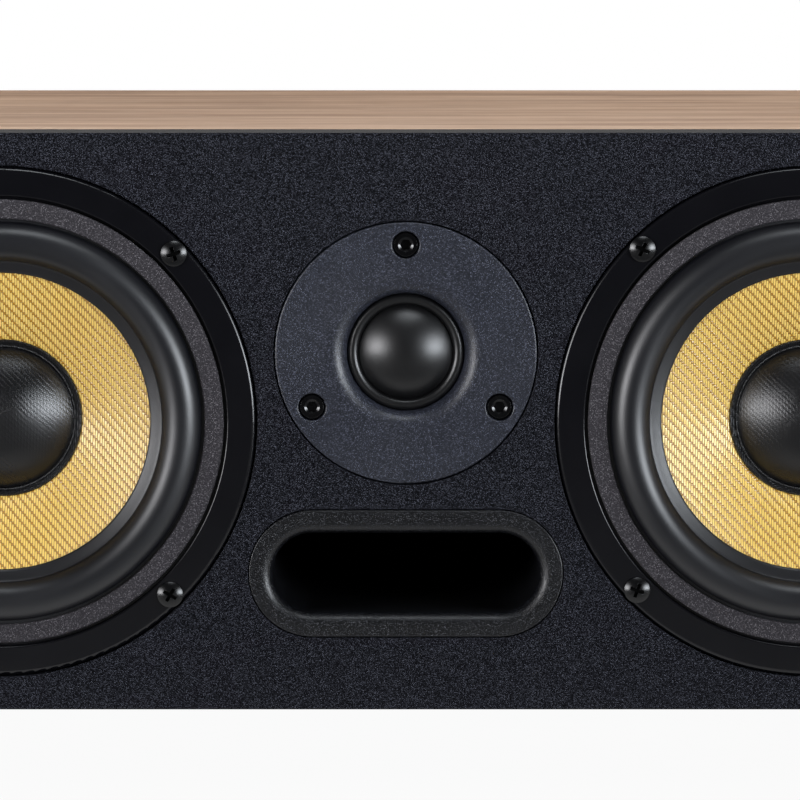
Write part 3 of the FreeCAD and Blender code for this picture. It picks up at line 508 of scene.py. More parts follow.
@dataclass(frozen=True)
class GrainedFinish(Finish):
    """Textured paint or moulded grain with flecks.

    Attributes:
        base: Colour between the flecks.
        fleck: Colour of the flecks.
        grain: Size of the grain in metres.
        share: Share of the grains that show as flecks.
    """

    base: Colour = (0.02, 0.02, 0.02, 1.0)
    fleck: Colour = (0.1, 0.1, 0.1, 1.0)
    grain: float = 0.0004
    share: float = 0.5

    def colour_and_height(self, graph: Graph, place: bpy.types.NodeSocket) -> tuple[object, object]:
        """Take both from the speckle.

        Args:
            graph: The material's tree.
            place: The piece's coordinates.

        Returns:
            The colour and the height of the relief.
        """
        flecks = Speckle.put(graph, Place=place, Grain=self.grain, Base=self.base, Fleck=self.fleck,
                             Share=self.share)
        return flecks.outputs["Colour"], flecks.outputs["Height"]


@dataclass(frozen=True)
class WoodFinish(Finish):
    """Satin wood-grain wrap.

    Attributes:
        light: Colour of the pale bands.
        dark: Colour of the darker bands.
        pore: Colour of the pores.
        run: Which way the grain runs.
    """

    light: Colour = tone(192, 161, 136)
    dark: Colour = tone(130, 99, 77)
    pore: Colour = tone(98, 71, 54)
    run: Run = Run.LEVEL

    def colour_and_height(self, graph: Graph, place: bpy.types.NodeSocket) -> tuple[object, object]:
        """Turn the grain its own way and take both from it.

        Args:
            graph: The material's tree.
            place: The piece's coordinates.

        Returns:
            The colour and the height of the relief.
        """
        laid = graph.laid(place, turn=(0.0, self.run.value, 0.0))
        grain = Wood.put(graph, Place=laid, Light=self.light, Dark=self.dark, Pore=self.pore)
        return grain.outputs["Colour"], grain.outputs["Height"]


@dataclass(frozen=True)
class WovenFinish(Finish):
    """Open weave whose upright and level yarns differ in colour, with painted shade between the yarns and on
    their sides and ends, where the weave is low.

    Attributes:
        upright: Colour of the yarns that run up.
        level: Colour of the yarns that run across.
        gap: Colour of the painted shade between the yarns and on their sides and ends.
        across: Width of an upright yarn in metres.
        along: Width of a level yarn in metres.
        sheen: Sheen of the fibres.
        gap_reach: Heights of the weave between which that painted shade fades.
    """

    upright: Colour = (0.9, 0.8, 0.5, 1.0)
    level: Colour = (0.7, 0.4, 0.1, 1.0)
    gap: Colour = (0.3, 0.15, 0.02, 1.0)
    across: float = 0.00067
    along: float = 0.00062
    sheen: float = 0.0
    gap_reach: tuple[float, float] = (0.05, 0.55)

    def colour_and_height(self, graph: Graph, place: bpy.types.NodeSocket) -> tuple[object, object]:
        """Colour the yarns by which of them is on top, and paint shade where the weave is low.

        Args:
            graph: The material's tree.
            place: The piece's coordinates.

        Returns:
            The colour and the height of the relief.
        """
        weave = Twill.put(graph, Place=place, Across=self.across, Along=self.along)
        yarns = graph.mix(weave.outputs["Upright"], self.level, self.upright)
        # Painted shade: the lower the weave, the more of the shade colour, as between the yarns and at their
        # sides and ends.
        depth = graph.spread(weave.outputs["Height"], *self.gap_reach, 1.0, 0.0)
        colour = graph.mix(depth, yarns, self.gap)
        return colour, weave.outputs["Height"]

    def trim(self, shader: bpy.types.Node) -> None:
        """Set the fibres' sheen."""
        shader.inputs["Sheen Weight"].default_value = self.sheen


@dataclass(frozen=True)
class PlainFinish(Finish):
    """Smooth moulded, coated or metal surface with a faint drift of tone and a fine relief.

    Attributes:
        base: The main colour.
        worn: The colour that it drifts towards.
        grain: Size of the relief in metres.
        stretch: Stretch of the relief along X, Y and Z, as for drawn or turned metal.
        coat: Clear coat over it.
        drift: Distance over which the tone drifts in metres.
    """

    base: Colour = (0.02, 0.02, 0.02, 1.0)
    worn: Colour = (0.03, 0.03, 0.03, 1.0)
    grain: float = 0.0006
    stretch: Point = (1.0, 1.0, 1.0)
    coat: float = 0.0
    drift: float = 0.012

    def colour_and_height(self, graph: Graph, place: bpy.types.NodeSocket) -> tuple[object, object]:
        """Drift between two tones over a fine relief.

        Args:
            graph: The material's tree.
            place: The piece's coordinates.

        Returns:
            The colour and the height of the relief.
        """
        cloud = Drift.put(graph, Place=place, Size=self.drift, Low=0.0, High=1.0)
        colour = graph.mix(cloud.outputs["Value"], self.base, self.worn)
        relief = graph.noise(graph.laid(place, scale=self.stretch), 1.0 / self.grain, detail=3.0)
        return colour, relief

    def trim(self, shader: bpy.types.Node) -> None:
        """Set the clear coat."""
        shader.inputs["Coat Weight"].default_value = self.coat


VENEER = WoodFinish(
    "Veneer level", roughness=(0.46, 0.58), specular=0.06, bump=0.00006)
VENEER_UPRIGHT = WoodFinish(
    "Veneer upright", roughness=(0.46, 0.58), specular=0.06, bump=0.00006, run=Run.UPRIGHT)
# The bright flecks are partly the paint's grain and partly painted glints of that grain, with the paint's own
# gloss kept very low.
BAFFLE_PAINT = GrainedFinish(
    "Baffle paint", roughness=(0.4, 0.48), specular=0.05, bump=0.0001, base=tone(6, 6, 9),
    fleck=tone(90, 92, 103), grain=0.00027, share=0.62)
PLATE_PLASTIC = GrainedFinish(
    "Faceplate plastic", roughness=(0.34, 0.42), specular=0.5, bump=0.00004, base=tone(19, 21, 28),
    fleck=tone(96, 100, 118), grain=0.00027, share=0.5)
GASKET_FIBRE = GrainedFinish(
    "Gasket fibre", roughness=(0.62, 0.75), specular=0.12, bump=0.00005, base=tone(40, 38, 41),
    fleck=tone(126, 122, 126), grain=0.0003, share=0.5)
PORT_PLASTIC = GrainedFinish(
    "Port plastic", roughness=(0.3, 0.36), specular=0.42, bump=0.00006, base=tone(2, 2, 3),
    fleck=tone(52, 54, 61), grain=0.00028, share=0.58)
REAR_PAINT = GrainedFinish(
    "Rear board paint", roughness=(0.55, 0.7), specular=0.3, bump=0.0001, base=tone(26, 26, 27),
    fleck=tone(58, 58, 60), grain=0.0008, share=0.5)
CIRCUIT_BOARD = GrainedFinish(
    "Circuit board", roughness=(0.4, 0.55), specular=0.4, bump=0.00003, base=tone(60, 92, 50),
    fleck=tone(96, 128, 70), grain=0.0012, share=0.5)
FERRITE = GrainedFinish(
    "Ferrite", roughness=(0.6, 0.75), specular=0.3, bump=0.00008, base=tone(44, 44, 46),
    fleck=tone(80, 80, 84), grain=0.0007, share=0.4)
CERAMIC = GrainedFinish(
    "Ceramic body", roughness=(0.6, 0.75), specular=0.3, bump=0.00006, base=tone(214, 208, 196),
    fleck=tone(240, 238, 230), grain=0.0009, share=0.6)
FRAME_PAINT = PlainFinish(
    "Frame satin black", roughness=(0.16, 0.22), specular=0.34, bump=0.000006, base=tone(8, 8, 11),
    worn=tone(11, 11, 14), grain=0.0005)
RUBBER = PlainFinish(
    "Surround rubber", roughness=(0.36, 0.44), specular=0.6, bump=0.00001, base=tone(5, 6, 11),
    worn=tone(8, 9, 14), grain=0.0004)
LANDING = PlainFinish(
    "Surround landing", roughness=(0.36, 0.42), specular=0.48, bump=0.00003, base=tone(12, 12, 15),
    worn=tone(16, 16, 19), grain=0.0003)
# The cone's upright yarns are paler and its level ones darker, partly their own tones and partly painted sheen
# on the upright yarns and painted shade on the level ones.
CONE_WEAVE = WovenFinish(
    "Cone weave", roughness=(0.26, 0.32), specular=1.0, bump=0.0001, upright=tone(232, 196, 100),
    level=tone(168, 119, 24), gap=tone(108, 70, 12), across=0.00066, along=0.0007)
CAP_CLOTH = WovenFinish(
    "Cap cloth", roughness=(0.24, 0.3), specular=0.55, bump=0.00003, upright=tone(7, 7, 9),
    level=tone(5, 5, 7), gap=tone(3, 3, 4), across=0.0004, along=0.0004)
LIP_CLOTH = WovenFinish(
    "Cap lip cloth", roughness=(0.34, 0.42), specular=0.4, bump=0.0002, upright=tone(26, 26, 28),
    level=tone(18, 18, 20), gap=tone(5, 5, 5), across=0.0006, along=0.0006)
DOME_CLOTH = PlainFinish(
    "Dome coated cloth", roughness=(0.31, 0.37), specular=0.55, bump=0.00002, base=tone(4, 4, 5),
    worn=tone(7, 7, 8), grain=0.0003)
SPIDER_CLOTH = WovenFinish(
    "Spider cloth", roughness=(0.7, 0.8), specular=0.2, bump=0.0002, upright=tone(214, 170, 92),
    level=tone(196, 150, 74), gap=tone(110, 78, 34), across=0.0006, along=0.0006, sheen=0.1)
WADDING = PlainFinish(
    "Wadding", roughness=(0.9, 1.0), specular=0.1, bump=0.0015, base=tone(232, 231, 226),
    worn=tone(214, 212, 206), grain=0.004, stretch=(0.5, 1.0, 1.0))
BLACK_STEEL = PlainFinish(
    "Black oxide steel", roughness=(0.22, 0.28), specular=0.42, bump=0.000006, base=tone(3, 3, 4),
    worn=tone(5, 5, 6), grain=0.0003)
# Painted shade: a darker, nearly unreflecting finish for the faces inside the screws' crosses, standing for
# the shade of their deep recess.
SCREW_RECESS_SHADE = PlainFinish(
    "Screw recess painted shade", roughness=(0.5, 0.6), specular=0.05, bump=0.000006, base=tone(2, 2, 2),
    worn=tone(3, 3, 3), grain=0.0003)
SOCKET_STEEL = PlainFinish(
    "Socket screw steel", roughness=(0.16, 0.22), specular=0.4, bump=0.000004, base=tone(4, 4, 5),
    worn=tone(6, 6, 7), grain=0.0003)
MOTOR_STEEL = PlainFinish(
    "Plated steel", roughness=(0.3, 0.42), specular=0.5, bump=0.00001, metallic=True,
    base=tone(176, 177, 178), worn=tone(150, 151, 150), grain=0.0006)
COPPER = PlainFinish(
    "Copper wire", roughness=(0.25, 0.35), specular=0.5, bump=0.0001, metallic=True,
    base=tone(206, 122, 74), worn=tone(180, 98, 56), grain=0.0006, stretch=(0.05, 1.0, 0.05))
FORMER_FOIL = PlainFinish(
    "Former foil", roughness=(0.3, 0.42), specular=0.5, bump=0.00001, metallic=True,
    base=tone(196, 196, 198), worn=tone(180, 180, 182), grain=0.0005)
BRASS = PlainFinish(
    "Bright plated brass", roughness=(0.16, 0.26), specular=0.5, bump=0.00001, metallic=True,
    base=tone(236, 196, 112), worn=tone(214, 168, 86), grain=0.0006, stretch=(1.0, 0.08, 1.0))
FIBRE_BOARD = PlainFinish(
    "Fibre board", roughness=(0.6, 0.7), specular=0.3, bump=0.00003, base=tone(142, 98, 58),
    worn=tone(122, 82, 46), grain=0.001)
FILM = PlainFinish(
    "Capacitor film", roughness=(0.2, 0.3), specular=0.5, bump=0.00001, base=tone(196, 120, 40),
    worn=tone(184, 108, 34), grain=0.002, coat=0.3)
SLEEVE = PlainFinish(
    "Lead sleeve", roughness=(0.4, 0.5), specular=0.4, bump=0.00002, base=tone(40, 40, 42),
    worn=tone(50, 50, 52), grain=0.0008)
RED_PLASTIC = PlainFinish(
    "Red plastic", roughness=(0.22, 0.32), specular=0.5, bump=0.00001, base=tone(176, 24, 22),
    worn=tone(160, 20, 19), grain=0.0006, coat=0.1)
BLACK_PLASTIC = PlainFinish(
    "Black plastic", roughness=(0.22, 0.32), specular=0.5, bump=0.00001, base=tone(20, 20, 21),
    worn=tone(26, 26, 27), grain=0.0006, coat=0.1)


class Outline:
    """A driver's half section in millimetres, as radius and depth behind the baffle's front."""

    def __init__(self, radius: float, depth: float) -> None:
        """Begin the outline at a point."""
        self.steps: list[Step] = [(radius, depth)]

    def line(self, radius: float, depth: float) -> "Outline":
        """Draw straight to a point."""
        self.steps.append((radius, depth))
        return self

    def arc(self, via: Step, end: Step, count: int = 12) -> "Outline":
        """Draw an arc through one point to another.

        Args:
            via: A point on the arc.
            end: The arc's last point.
            count: How many straight pieces stand for it.

        Returns:
            The outline itself.
        """
        start = self.steps[-1]
        centre, radius = circle_through(start, via, end)
        first = math.atan2(start[1] - centre[1], start[0] - centre[0])
        middle = math.atan2(via[1] - centre[1], via[0] - centre[0])
        last = math.atan2(end[1] - centre[1], end[0] - centre[0])
        turn = (last - first) % math.tau
        if (middle - first) % math.tau > turn:
            turn -= math.tau
        for step in range(1, count):
            angle = first + turn * step / count
            self.steps.append((centre[0] + radius * math.cos(angle), centre[1] + radius * math.sin(angle)))
        self.steps.append(end)
        return self


def circle_through(first: Step, second: Step, third: Step) -> tuple[Step, float]:
    """Find the circle through three points.

    Args:
        first: A point on the circle.
        second: Another point.
        third: A third point.

    Returns:
        The circle's centre and radius.
    """
    ax, ay = first
    bx, by = second
    cx, cy = third
    twice = 2 * (ax * (by - cy) + bx * (cy - ay) + cx * (ay - by))
    a_square = ax * ax + ay * ay
    b_square = bx * bx + by * by
    c_square = cx * cx + cy * cy
    x = (a_square * (by - cy) + b_square * (cy - ay) + c_square * (ay - by)) / twice
    y = (a_square * (cx - bx) + b_square * (ax - cx) + c_square * (bx - ax)) / twice
    return (x, y), math.hypot(ax - x, ay - y)


def dome_bend(radius: float, rise: float) -> float:
    """Radius of the sphere that a dome of some radius and rise is cut from."""
    return (radius ** 2 + rise ** 2) / (2 * rise)


def dome_flank(radius: float, rise: float, crown: float) -> Step:
    """Find the point halfway down a domed outline.

    Args:
        radius: The dome's radius.
        rise: Its height.
        crown: Depth of its top.

    Returns:
        The point's radius and depth.
    """
    bend = dome_bend(radius, rise)
    half = math.asin(radius / bend) / 2
    return bend * math.sin(half), crown + bend * (1 - math.cos(half))


def baffle_front() -> float:
    """Y of the baffle's front face in metres."""
    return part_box("front_baffle")[0][1]


class Bench:
    """The steps by which pieces are modelled."""

    @staticmethod
    def clear() -> None:
        """Leave nothing selected."""
        bpy.ops.object.select_all(action="DESELECT")

    @staticmethod
    def hold(piece: bpy.types.Object) -> None:
        """Select one piece alone and make it the active one.

        Args:
            piece: The piece.
        """
        Bench.clear()
        piece.select_set(True)
        bpy.context.view_layer.objects.active = piece

    @staticmethod
    def spun(name: str, x: float, z: float, outline: Outline, steps: int) -> bpy.types.Object:
        """Draw an outline as a chain of edges and spin it about a driver's axis.

        Args:
            name: The piece's name.
            x: The axis's place along X in metres.
            z: The axis's height in metres.
            outline: The closed half section.
            steps: How many steps the spin takes.

        Returns:
            The closed, smooth piece.
        """
        front = baffle_front()
        points = [Vector((x + r * MM, front + d * MM, z)) for r, d in outline.steps]
        Bench.clear()
        bpy.ops.mesh.primitive_plane_add(size=MM, location=(0, 0, 0))
        piece = bpy.context.object
        piece.name = name
        bpy.ops.object.mode_set(mode="EDIT")
        bpy.ops.mesh.select_all(action="SELECT")
        bpy.ops.mesh.merge(type="CENTER")
        bpy.ops.transform.translate(value=points[0])
        for here, after in zip(points, points[1:] + points[:1]):
            bpy.ops.mesh.extrude_region_move(TRANSFORM_OT_translate={"value": after - here})
        bpy.ops.mesh.select_all(action="SELECT")
        bpy.ops.mesh.remove_doubles(threshold=WELD)
        bpy.ops.mesh.spin(steps=steps, angle=math.tau, center=(x, front, z), axis=(0, 1, 0))
        bpy.ops.mesh.select_all(action="SELECT")
        bpy.ops.mesh.remove_doubles(threshold=WELD)
        bpy.ops.mesh.normals_make_consistent(inside=False)
        bpy.ops.object.mode_set(mode="OBJECT")
        bpy.ops.object.shade_smooth_by_angle(angle=SMOOTH_BELOW)
        return piece

    @staticmethod
    def pick(piece: bpy.types.Object, wanted: Callable[[bpy.types.MeshPolygon], bool]) -> None:
        """Select the faces that a test picks, in object mode.

        Args:
            piece: The piece.
            wanted: A test that takes a face.
        """
        mesh = piece.data
        for vertex in mesh.vertices:
            vertex.select = False
        for edge in mesh.edges:
            edge.select = False
        for polygon in mesh.polygons:
            polygon.select = wanted(polygon)

    @staticmethod
    def settle(piece: bpy.types.Object) -> None:
        """Put a piece's place into its mesh, so that its object sits at the origin."""
        Bench.hold(piece)
        bpy.ops.object.transform_apply(location=True, rotation=True, scale=True)


def dress(node: str, finish: Finish) -> None:
    """Give a CAD node its finish.

    Args:
        node: The node's name.
        finish: The finish.
    """
    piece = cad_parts[node]
    material = finish.material()
    if not piece.material_slots:
        piece.data.materials.append(material)
    for slot in piece.material_slots:
        slot.material = material
    LOG.info("%s: %s", node, finish.name)


def paint(piece: bpy.types.Object, *finishes: Finish) -> None:
    """Give a modelled piece its finishes, one slot each.

    Args:
        piece: The piece.
        finishes: The finishes in the order of its slots.
    """
    piece.data.materials.clear()
    for finish in finishes:
        piece.data.materials.append(finish.material())


def stand_for(piece: bpy.types.Object, node: str) -> None:
    """Let a piece take a node's place in the picture.

    Args:
        piece: The modelled piece.
        node: The node that it hides.
    """
    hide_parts(node)
    LOG.info("%s stands for %s", piece.name, node)


@dataclass
class Cabinet:
    """The wood sleeve, the rear panel, the baffle and the port.

    Attributes:
        edge: Rounding of the sleeve's front and back edges in metres.
        edge_steps: Segments of that rounding.
    """

    edge: float = 0.0002
    edge_steps: int = 3

    def board(self, node: str, finish: Finish) -> None:
        """Model one mitred board of the sleeve with softened edges.

        Args:
            node: The board's node, whose box it fills.
            finish: Its finish.
        """
        low, high = (Vector(corner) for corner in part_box(node))
        rear_low, rear_high = (Vector(corner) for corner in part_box("rear_panel"))
        Bench.clear()
        bpy.ops.mesh.primitive_cube_add(size=1.0, location=(low + high) / 2, scale=high - low)
        piece = bpy.context.object
        piece.name = node.replace("panel", "board")
        Bench.settle(piece)
        middle = (rear_low + rear_high) / 2
        across = (low + high) / 2 - middle
        level = abs(across.z) > abs(across.x)
        inwards = Vector((0, 0, -across.z) if level else (-across.x, 0, 0)).normalized()
        Bench.pick(piece, lambda face: face.normal.dot(inwards) > FACING)
        bpy.ops.object.mode_set(mode="EDIT")
        inner = rear_high - rear_low
        outer = high - low
        narrow = (inner.x / outer.x, 1, 1) if level else (1, 1, inner.z / outer.z)
        bpy.ops.transform.resize(value=narrow, center_override=middle)
        bpy.ops.object.mode_set(mode="OBJECT")
        Bench.pick(piece, lambda face: abs(face.normal.y) > FACING)
        bpy.ops.object.mode_set(mode="EDIT")
        bpy.ops.mesh.bevel(offset=self.edge, segments=self.edge_steps, affect="EDGES")
        bpy.ops.object.mode_set(mode="OBJECT")
        bpy.ops.object.shade_smooth_by_angle(angle=SMOOTH_BELOW)
        paint(piece, finish)
        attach(piece, "cabinet")
        stand_for(piece, node)

    def build(self) -> None:
        """Model the sleeve."""
        self.board("top_panel", VENEER)
        self.board("bottom_panel", VENEER)
        self.board("left_panel", VENEER_UPRIGHT)
        self.board("right_panel", VENEER_UPRIGHT)

    def dress(self) -> None:
        """Finish the boards and mouldings that keep their CAD shape."""
        dress("front_baffle", BAFFLE_PAINT)
        dress("rear_panel", REAR_PAINT)
        dress("port_tube", PORT_PLASTIC)


@dataclass
class Woofer:
    """One woofer: its cone, dust cap, surround and spider are modelled, the rest keeps its CAD shape.

    Lengths are in millimetres, radii about the driver's axis and depths behind the baffle's front.

    Attributes:
        side: Which of the two it is.
        spin_steps: Steps of a spin about its axis.
        cone_rim: Radius of the cone's rim.
        cone_rim_depth: Depth of the rim's front.
        cone_depth: Depth from the rim to the neck.
        cone_neck: Radius of the neck.
        cone_flare: Radius of the cone's curved section.
        cone_thickness: Thickness of the cone.
        glue: Gap between pieces that are glued.
        seat_depth: Depth of the frame's seat for the surround.
        edge_outer: Outer radius of the surround.
        roll_outer: Outer radius of its half roll.
        roll_radius: Radius of the roll's section.
        roll_foot: How far outside the roll its outer foot begins.
        crest_room: How far the roll's crest stays behind that of the solid.
        crease: Size of the soft crease between the roll and its landing.
        rubber: Thickness of the surround.
        landing_width: Width of its landing on the cone.
        landing_bevel: Width and height of the bevel at the landing's inner edge.
        cap_radius: Radius of the dust cap's dome.
        cap_lip: Width of the cap's lip.
        cap_lip_bevel: Width and height of the bevel at the lip's outer edge.
        cap_lip_seam: How far inside the dome's foot the lip's cloth begins.
        cap_height: Height of the dome.
        cap_thickness: Thickness of the cap.
        cap_back: Share of the dome's radius that its back has halfway down.
        cap_bead: Radius of the bead between dome and lip.
        spider_radius: Outer radius of the spider.
        spider_lip: Width of its flat rim.
        spider_collar: Width of its flat collar.
        spider_waves: How many waves lie between them.
        spider_wave: Height of a wave.
        spider_thickness: Thickness of the spider.
        spider_depth: Depth of its back.
    """

    side: Side
    spin_steps: int = 192
    cone_rim: float = 43.45
    cone_rim_depth: float = 2.3
    cone_depth: float = 15.0
    cone_neck: float = 16.4
    cone_flare: float = 99.0
    cone_thickness: float = 0.7
    glue: float = 0.2
    seat_depth: float = 2.6
    edge_outer: float = 61.25
    roll_outer: float = 54.75
    roll_radius: float = 5.35
    roll_foot: float = 0.4
    crest_room: float = 0.05
    crease: float = 0.2
    rubber: float = 0.8
    landing_width: float = 3.1
    landing_bevel: Step = (0.2, 0.25)
    cap_radius: float = 19.9
    cap_lip: float = 1.85
    cap_lip_bevel: Step = (0.4, 0.3)
    cap_lip_seam: float = 0.2
    cap_height: float = 7.6
    cap_thickness: float = 0.5
    cap_back: float = 0.98
    cap_bead: float = 0.35
    spider_radius: float = 46.0
    spider_lip: float = 4.0
    spider_collar: float = 2.5
    spider_waves: int = 4
    spider_wave: float = 1.3
    spider_thickness: float = 0.5
    spider_depth: float = 28.0

    @property
    def axis(self) -> tuple[float, float]:
        """X and Z of the driver's axis in metres, from the box of its gasket."""
        low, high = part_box(f"{self.side.word}_gasket")
        return (low[0] + high[0]) / 2, (low[2] + high[2]) / 2

    @property
    def roll_inner(self) -> float:
        """Radius of the roll's inner foot."""
        return self.roll_outer - 2 * self.roll_radius

    @property
    def moving(self) -> str:
        """The body that strokes."""
        return f"{self.side.word}_cone_assembly"

    def face(self, radius: float) -> float:
        """Depth of the cone's front at a radius.

        Args:
            radius: Distance from the driver's axis.

        Returns:
            Depth behind the baffle's front.
        """
        across = self.cone_rim - self.cone_neck
        chord = math.hypot(across, self.cone_depth)
        reach = math.sqrt(self.cone_flare ** 2 - chord ** 2 / 4)
        centre = (self.cone_rim + self.cone_neck) / 2 + reach * self.cone_depth / chord
        depth = self.cone_rim_depth + self.cone_depth / 2 + reach * across / chord
        return depth - math.sqrt(self.cone_flare ** 2 - (radius - centre) ** 2)

    def spin(self, piece: str, outline: Outline) -> bpy.types.Object:
        """Spin an outline about this driver's axis under the side's name."""
        x, z = self.axis
        return Bench.spun(f"{self.side.word}_{piece}", x, z, outline, self.spin_steps)

    def split(self, piece: bpy.types.Object, radius: float, outside: bool) -> None:
        """Give a piece's second finish to its faces on one side of a radius.

        Args:
            piece: The piece, which has two finishes.
            radius: Where the finishes meet.
            outside: Whether the second one lies outside that radius.
        """
        x, z = self.axis
        for face in piece.data.polygons:
            beyond = math.hypot(face.center.x - x, face.center.z - z) > radius * MM
            face.material_index = int(beyond == outside)

    def cone(self) -> None:
        """Model the woven cone."""
        rim = (self.cone_rim, self.face(self.cone_rim))
        neck = (self.cone_neck, self.face(self.cone_neck))
        middle = (self.cone_rim + self.cone_neck) / 2
        back = self.cone_thickness
        outline = Outline(*rim)
        outline.arc((middle, self.face(middle)), neck, count=28)
        outline.line(neck[0], neck[1] + back)
        outline.arc((middle, self.face(middle) + back), (rim[0], rim[1] + back))
        piece = self.spin("woven_cone", outline)
        paint(piece, CONE_WEAVE)
        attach(piece, self.moving)
        stand_for(piece, f"{self.side.word}_cone")

    def dust_cap(self) -> None:
        """Model the domed cap, whose lip has a coarser cloth."""
        outer = self.cap_radius + self.cap_lip
        lift = self.glue + self.cap_thickness
        base = self.face(self.cap_radius) - lift
        crown = base - self.cap_height
        flank = dome_flank(self.cap_radius, self.cap_height, crown)
        bevel_width, bevel_height = self.cap_lip_bevel
        outline = Outline(0, crown)
        outline.arc(flank, (self.cap_radius - self.cap_bead, base), count=24)
        outline.arc((self.cap_radius, base - self.cap_bead), (self.cap_radius + self.cap_bead, base), count=6)
        outline.line(outer - bevel_width, self.face(outer) - lift)
        outline.line(outer, self.face(outer) - lift + bevel_height)
        outline.line(outer, self.face(outer) - self.glue)
        outline.line(self.cap_radius, base + self.cap_thickness)
        back = (flank[0] * self.cap_back, flank[1] + self.cap_thickness)
        outline.arc(back, (0, crown + self.cap_thickness))
        piece = self.spin("cap", outline)
        paint(piece, CAP_CLOTH, LIP_CLOTH)
        self.split(piece, self.cap_radius - self.cap_lip_seam, outside=True)
        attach(piece, self.moving)
        stand_for(piece, f"{self.side.word}_dust_cap")

    def flexes(self, piece: bpy.types.Object, fixed: float, carried: float) -> None:
        """Let a ring follow the cabinet at its outer radius and the cone at its inner one.

        Args:
            piece: The ring.
            fixed: Radius beyond which it stays with the cabinet.
            carried: Radius within which it moves with the cone.
        """
        x, z = self.axis
        front = baffle_front()
        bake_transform(piece, "cabinet", self.moving, (x + fixed * MM, front, z), (x + carried * MM, front, z))
        weights = piece.data.attributes[BLEND_WEIGHTS].data
        for vertex in piece.data.vertices:
            radius = math.hypot(vertex.co.x - x, vertex.co.z - z) / MM
            share = min(max((fixed - radius) / (fixed - carried), 0.0), 1.0)
            weights[vertex.index].value = share * share * (3 - 2 * share)

    def surround(self) -> None:
        """Model the rubber half roll and its landing on the cone."""
        front = self.seat_depth - self.rubber
        middle = self.roll_outer - self.roll_radius
        crest = front - self.roll_radius + self.crest_room
        inner = self.roll_inner
        landing_inner = inner - self.landing_width
        landing = inner - self.landing_width / 2
        lift = self.glue + self.rubber
        foot = self.face(inner) - self.glue
        bevel_width, bevel_height = self.landing_bevel
        landing_edge = (landing_inner + bevel_width, self.face(landing_inner) - lift)
        outline = Outline(self.edge_outer, front)
        outline.line(self.roll_outer + self.roll_foot, front)
        outline.arc((middle, crest), (inner + self.crease, self.face(inner) - lift - self.crease), count=40)
        outline.line(inner - self.crease, self.face(inner - self.crease) - lift)
        outline.arc((landing, self.face(landing) - lift), landing_edge, count=6)
        outline.line(landing_inner, landing_edge[1] + bevel_height)
        outline.line(landing_inner, self.face(landing_inner) - self.glue)
        outline.line(inner, foot).line(inner + self.rubber, foot)
        outline.arc((middle, crest + self.rubber), (self.roll_outer - self.rubber, self.seat_depth), count=20)
        outline.line(self.edge_outer, self.seat_depth)
        piece = self.spin("rubber_surround", outline)
        paint(piece, RUBBER, LANDING)
        self.split(piece, inner + self.crease / 2, outside=False)
        self.flexes(piece, self.roll_outer, inner)
        stand_for(piece, f"{self.side.word}_surround")

    def spider(self) -> None:
        """Model the corrugated cloth disc behind the cone."""
        front = self.spider_depth - self.spider_thickness
        start = self.spider_radius - self.spider_lip
        inner = self.cone_neck
        step = (start - inner - self.spider_collar) / (2 * self.spider_waves)
        outline = Outline(self.spider_radius, front).line(start, front)
        for wave in range(2 * self.spider_waves):
            height = self.spider_wave * (-1) ** wave
            radius = start - step * wave
            outline.arc((radius - step / 2, front - height), (radius - step, front), count=6)
        outline.line(inner, front).line(inner, self.spider_depth)
        outline.line(inner + self.spider_collar, self.spider_depth)
        for wave in reversed(range(2 * self.spider_waves)):
            height = self.spider_wave * (-1) ** wave
            radius = start - step * wave
            outline.arc((radius - step / 2, self.spider_depth - height), (radius, self.spider_depth), count=6)
        outline.line(self.spider_radius, self.spider_depth)
        piece = self.spin("cloth_spider", outline)
        paint(piece, SPIDER_CLOTH)
        self.flexes(piece, start, inner + self.spider_collar)
        stand_for(piece, f"{self.side.word}_spider")

    def build(self) -> None:
        """Model the soft pieces."""
        self.cone()
        self.dust_cap()
        self.surround()
        self.spider()

    def dress(self) -> None:
        """Finish the frame, the gasket and the motor."""
        finishes = {"basket": FRAME_PAINT, "gasket": GASKET_FIBRE, "coil_former": FORMER_FOIL,
                    "voice_coil": COPPER, "top_plate": MOTOR_STEEL, "magnet": FERRITE, "yoke": MOTOR_STEEL,
                    "tag_strip": FIBRE_BOARD}
        for piece, finish in finishes.items():
            dress(f"{self.side.word}_{piece}", finish)


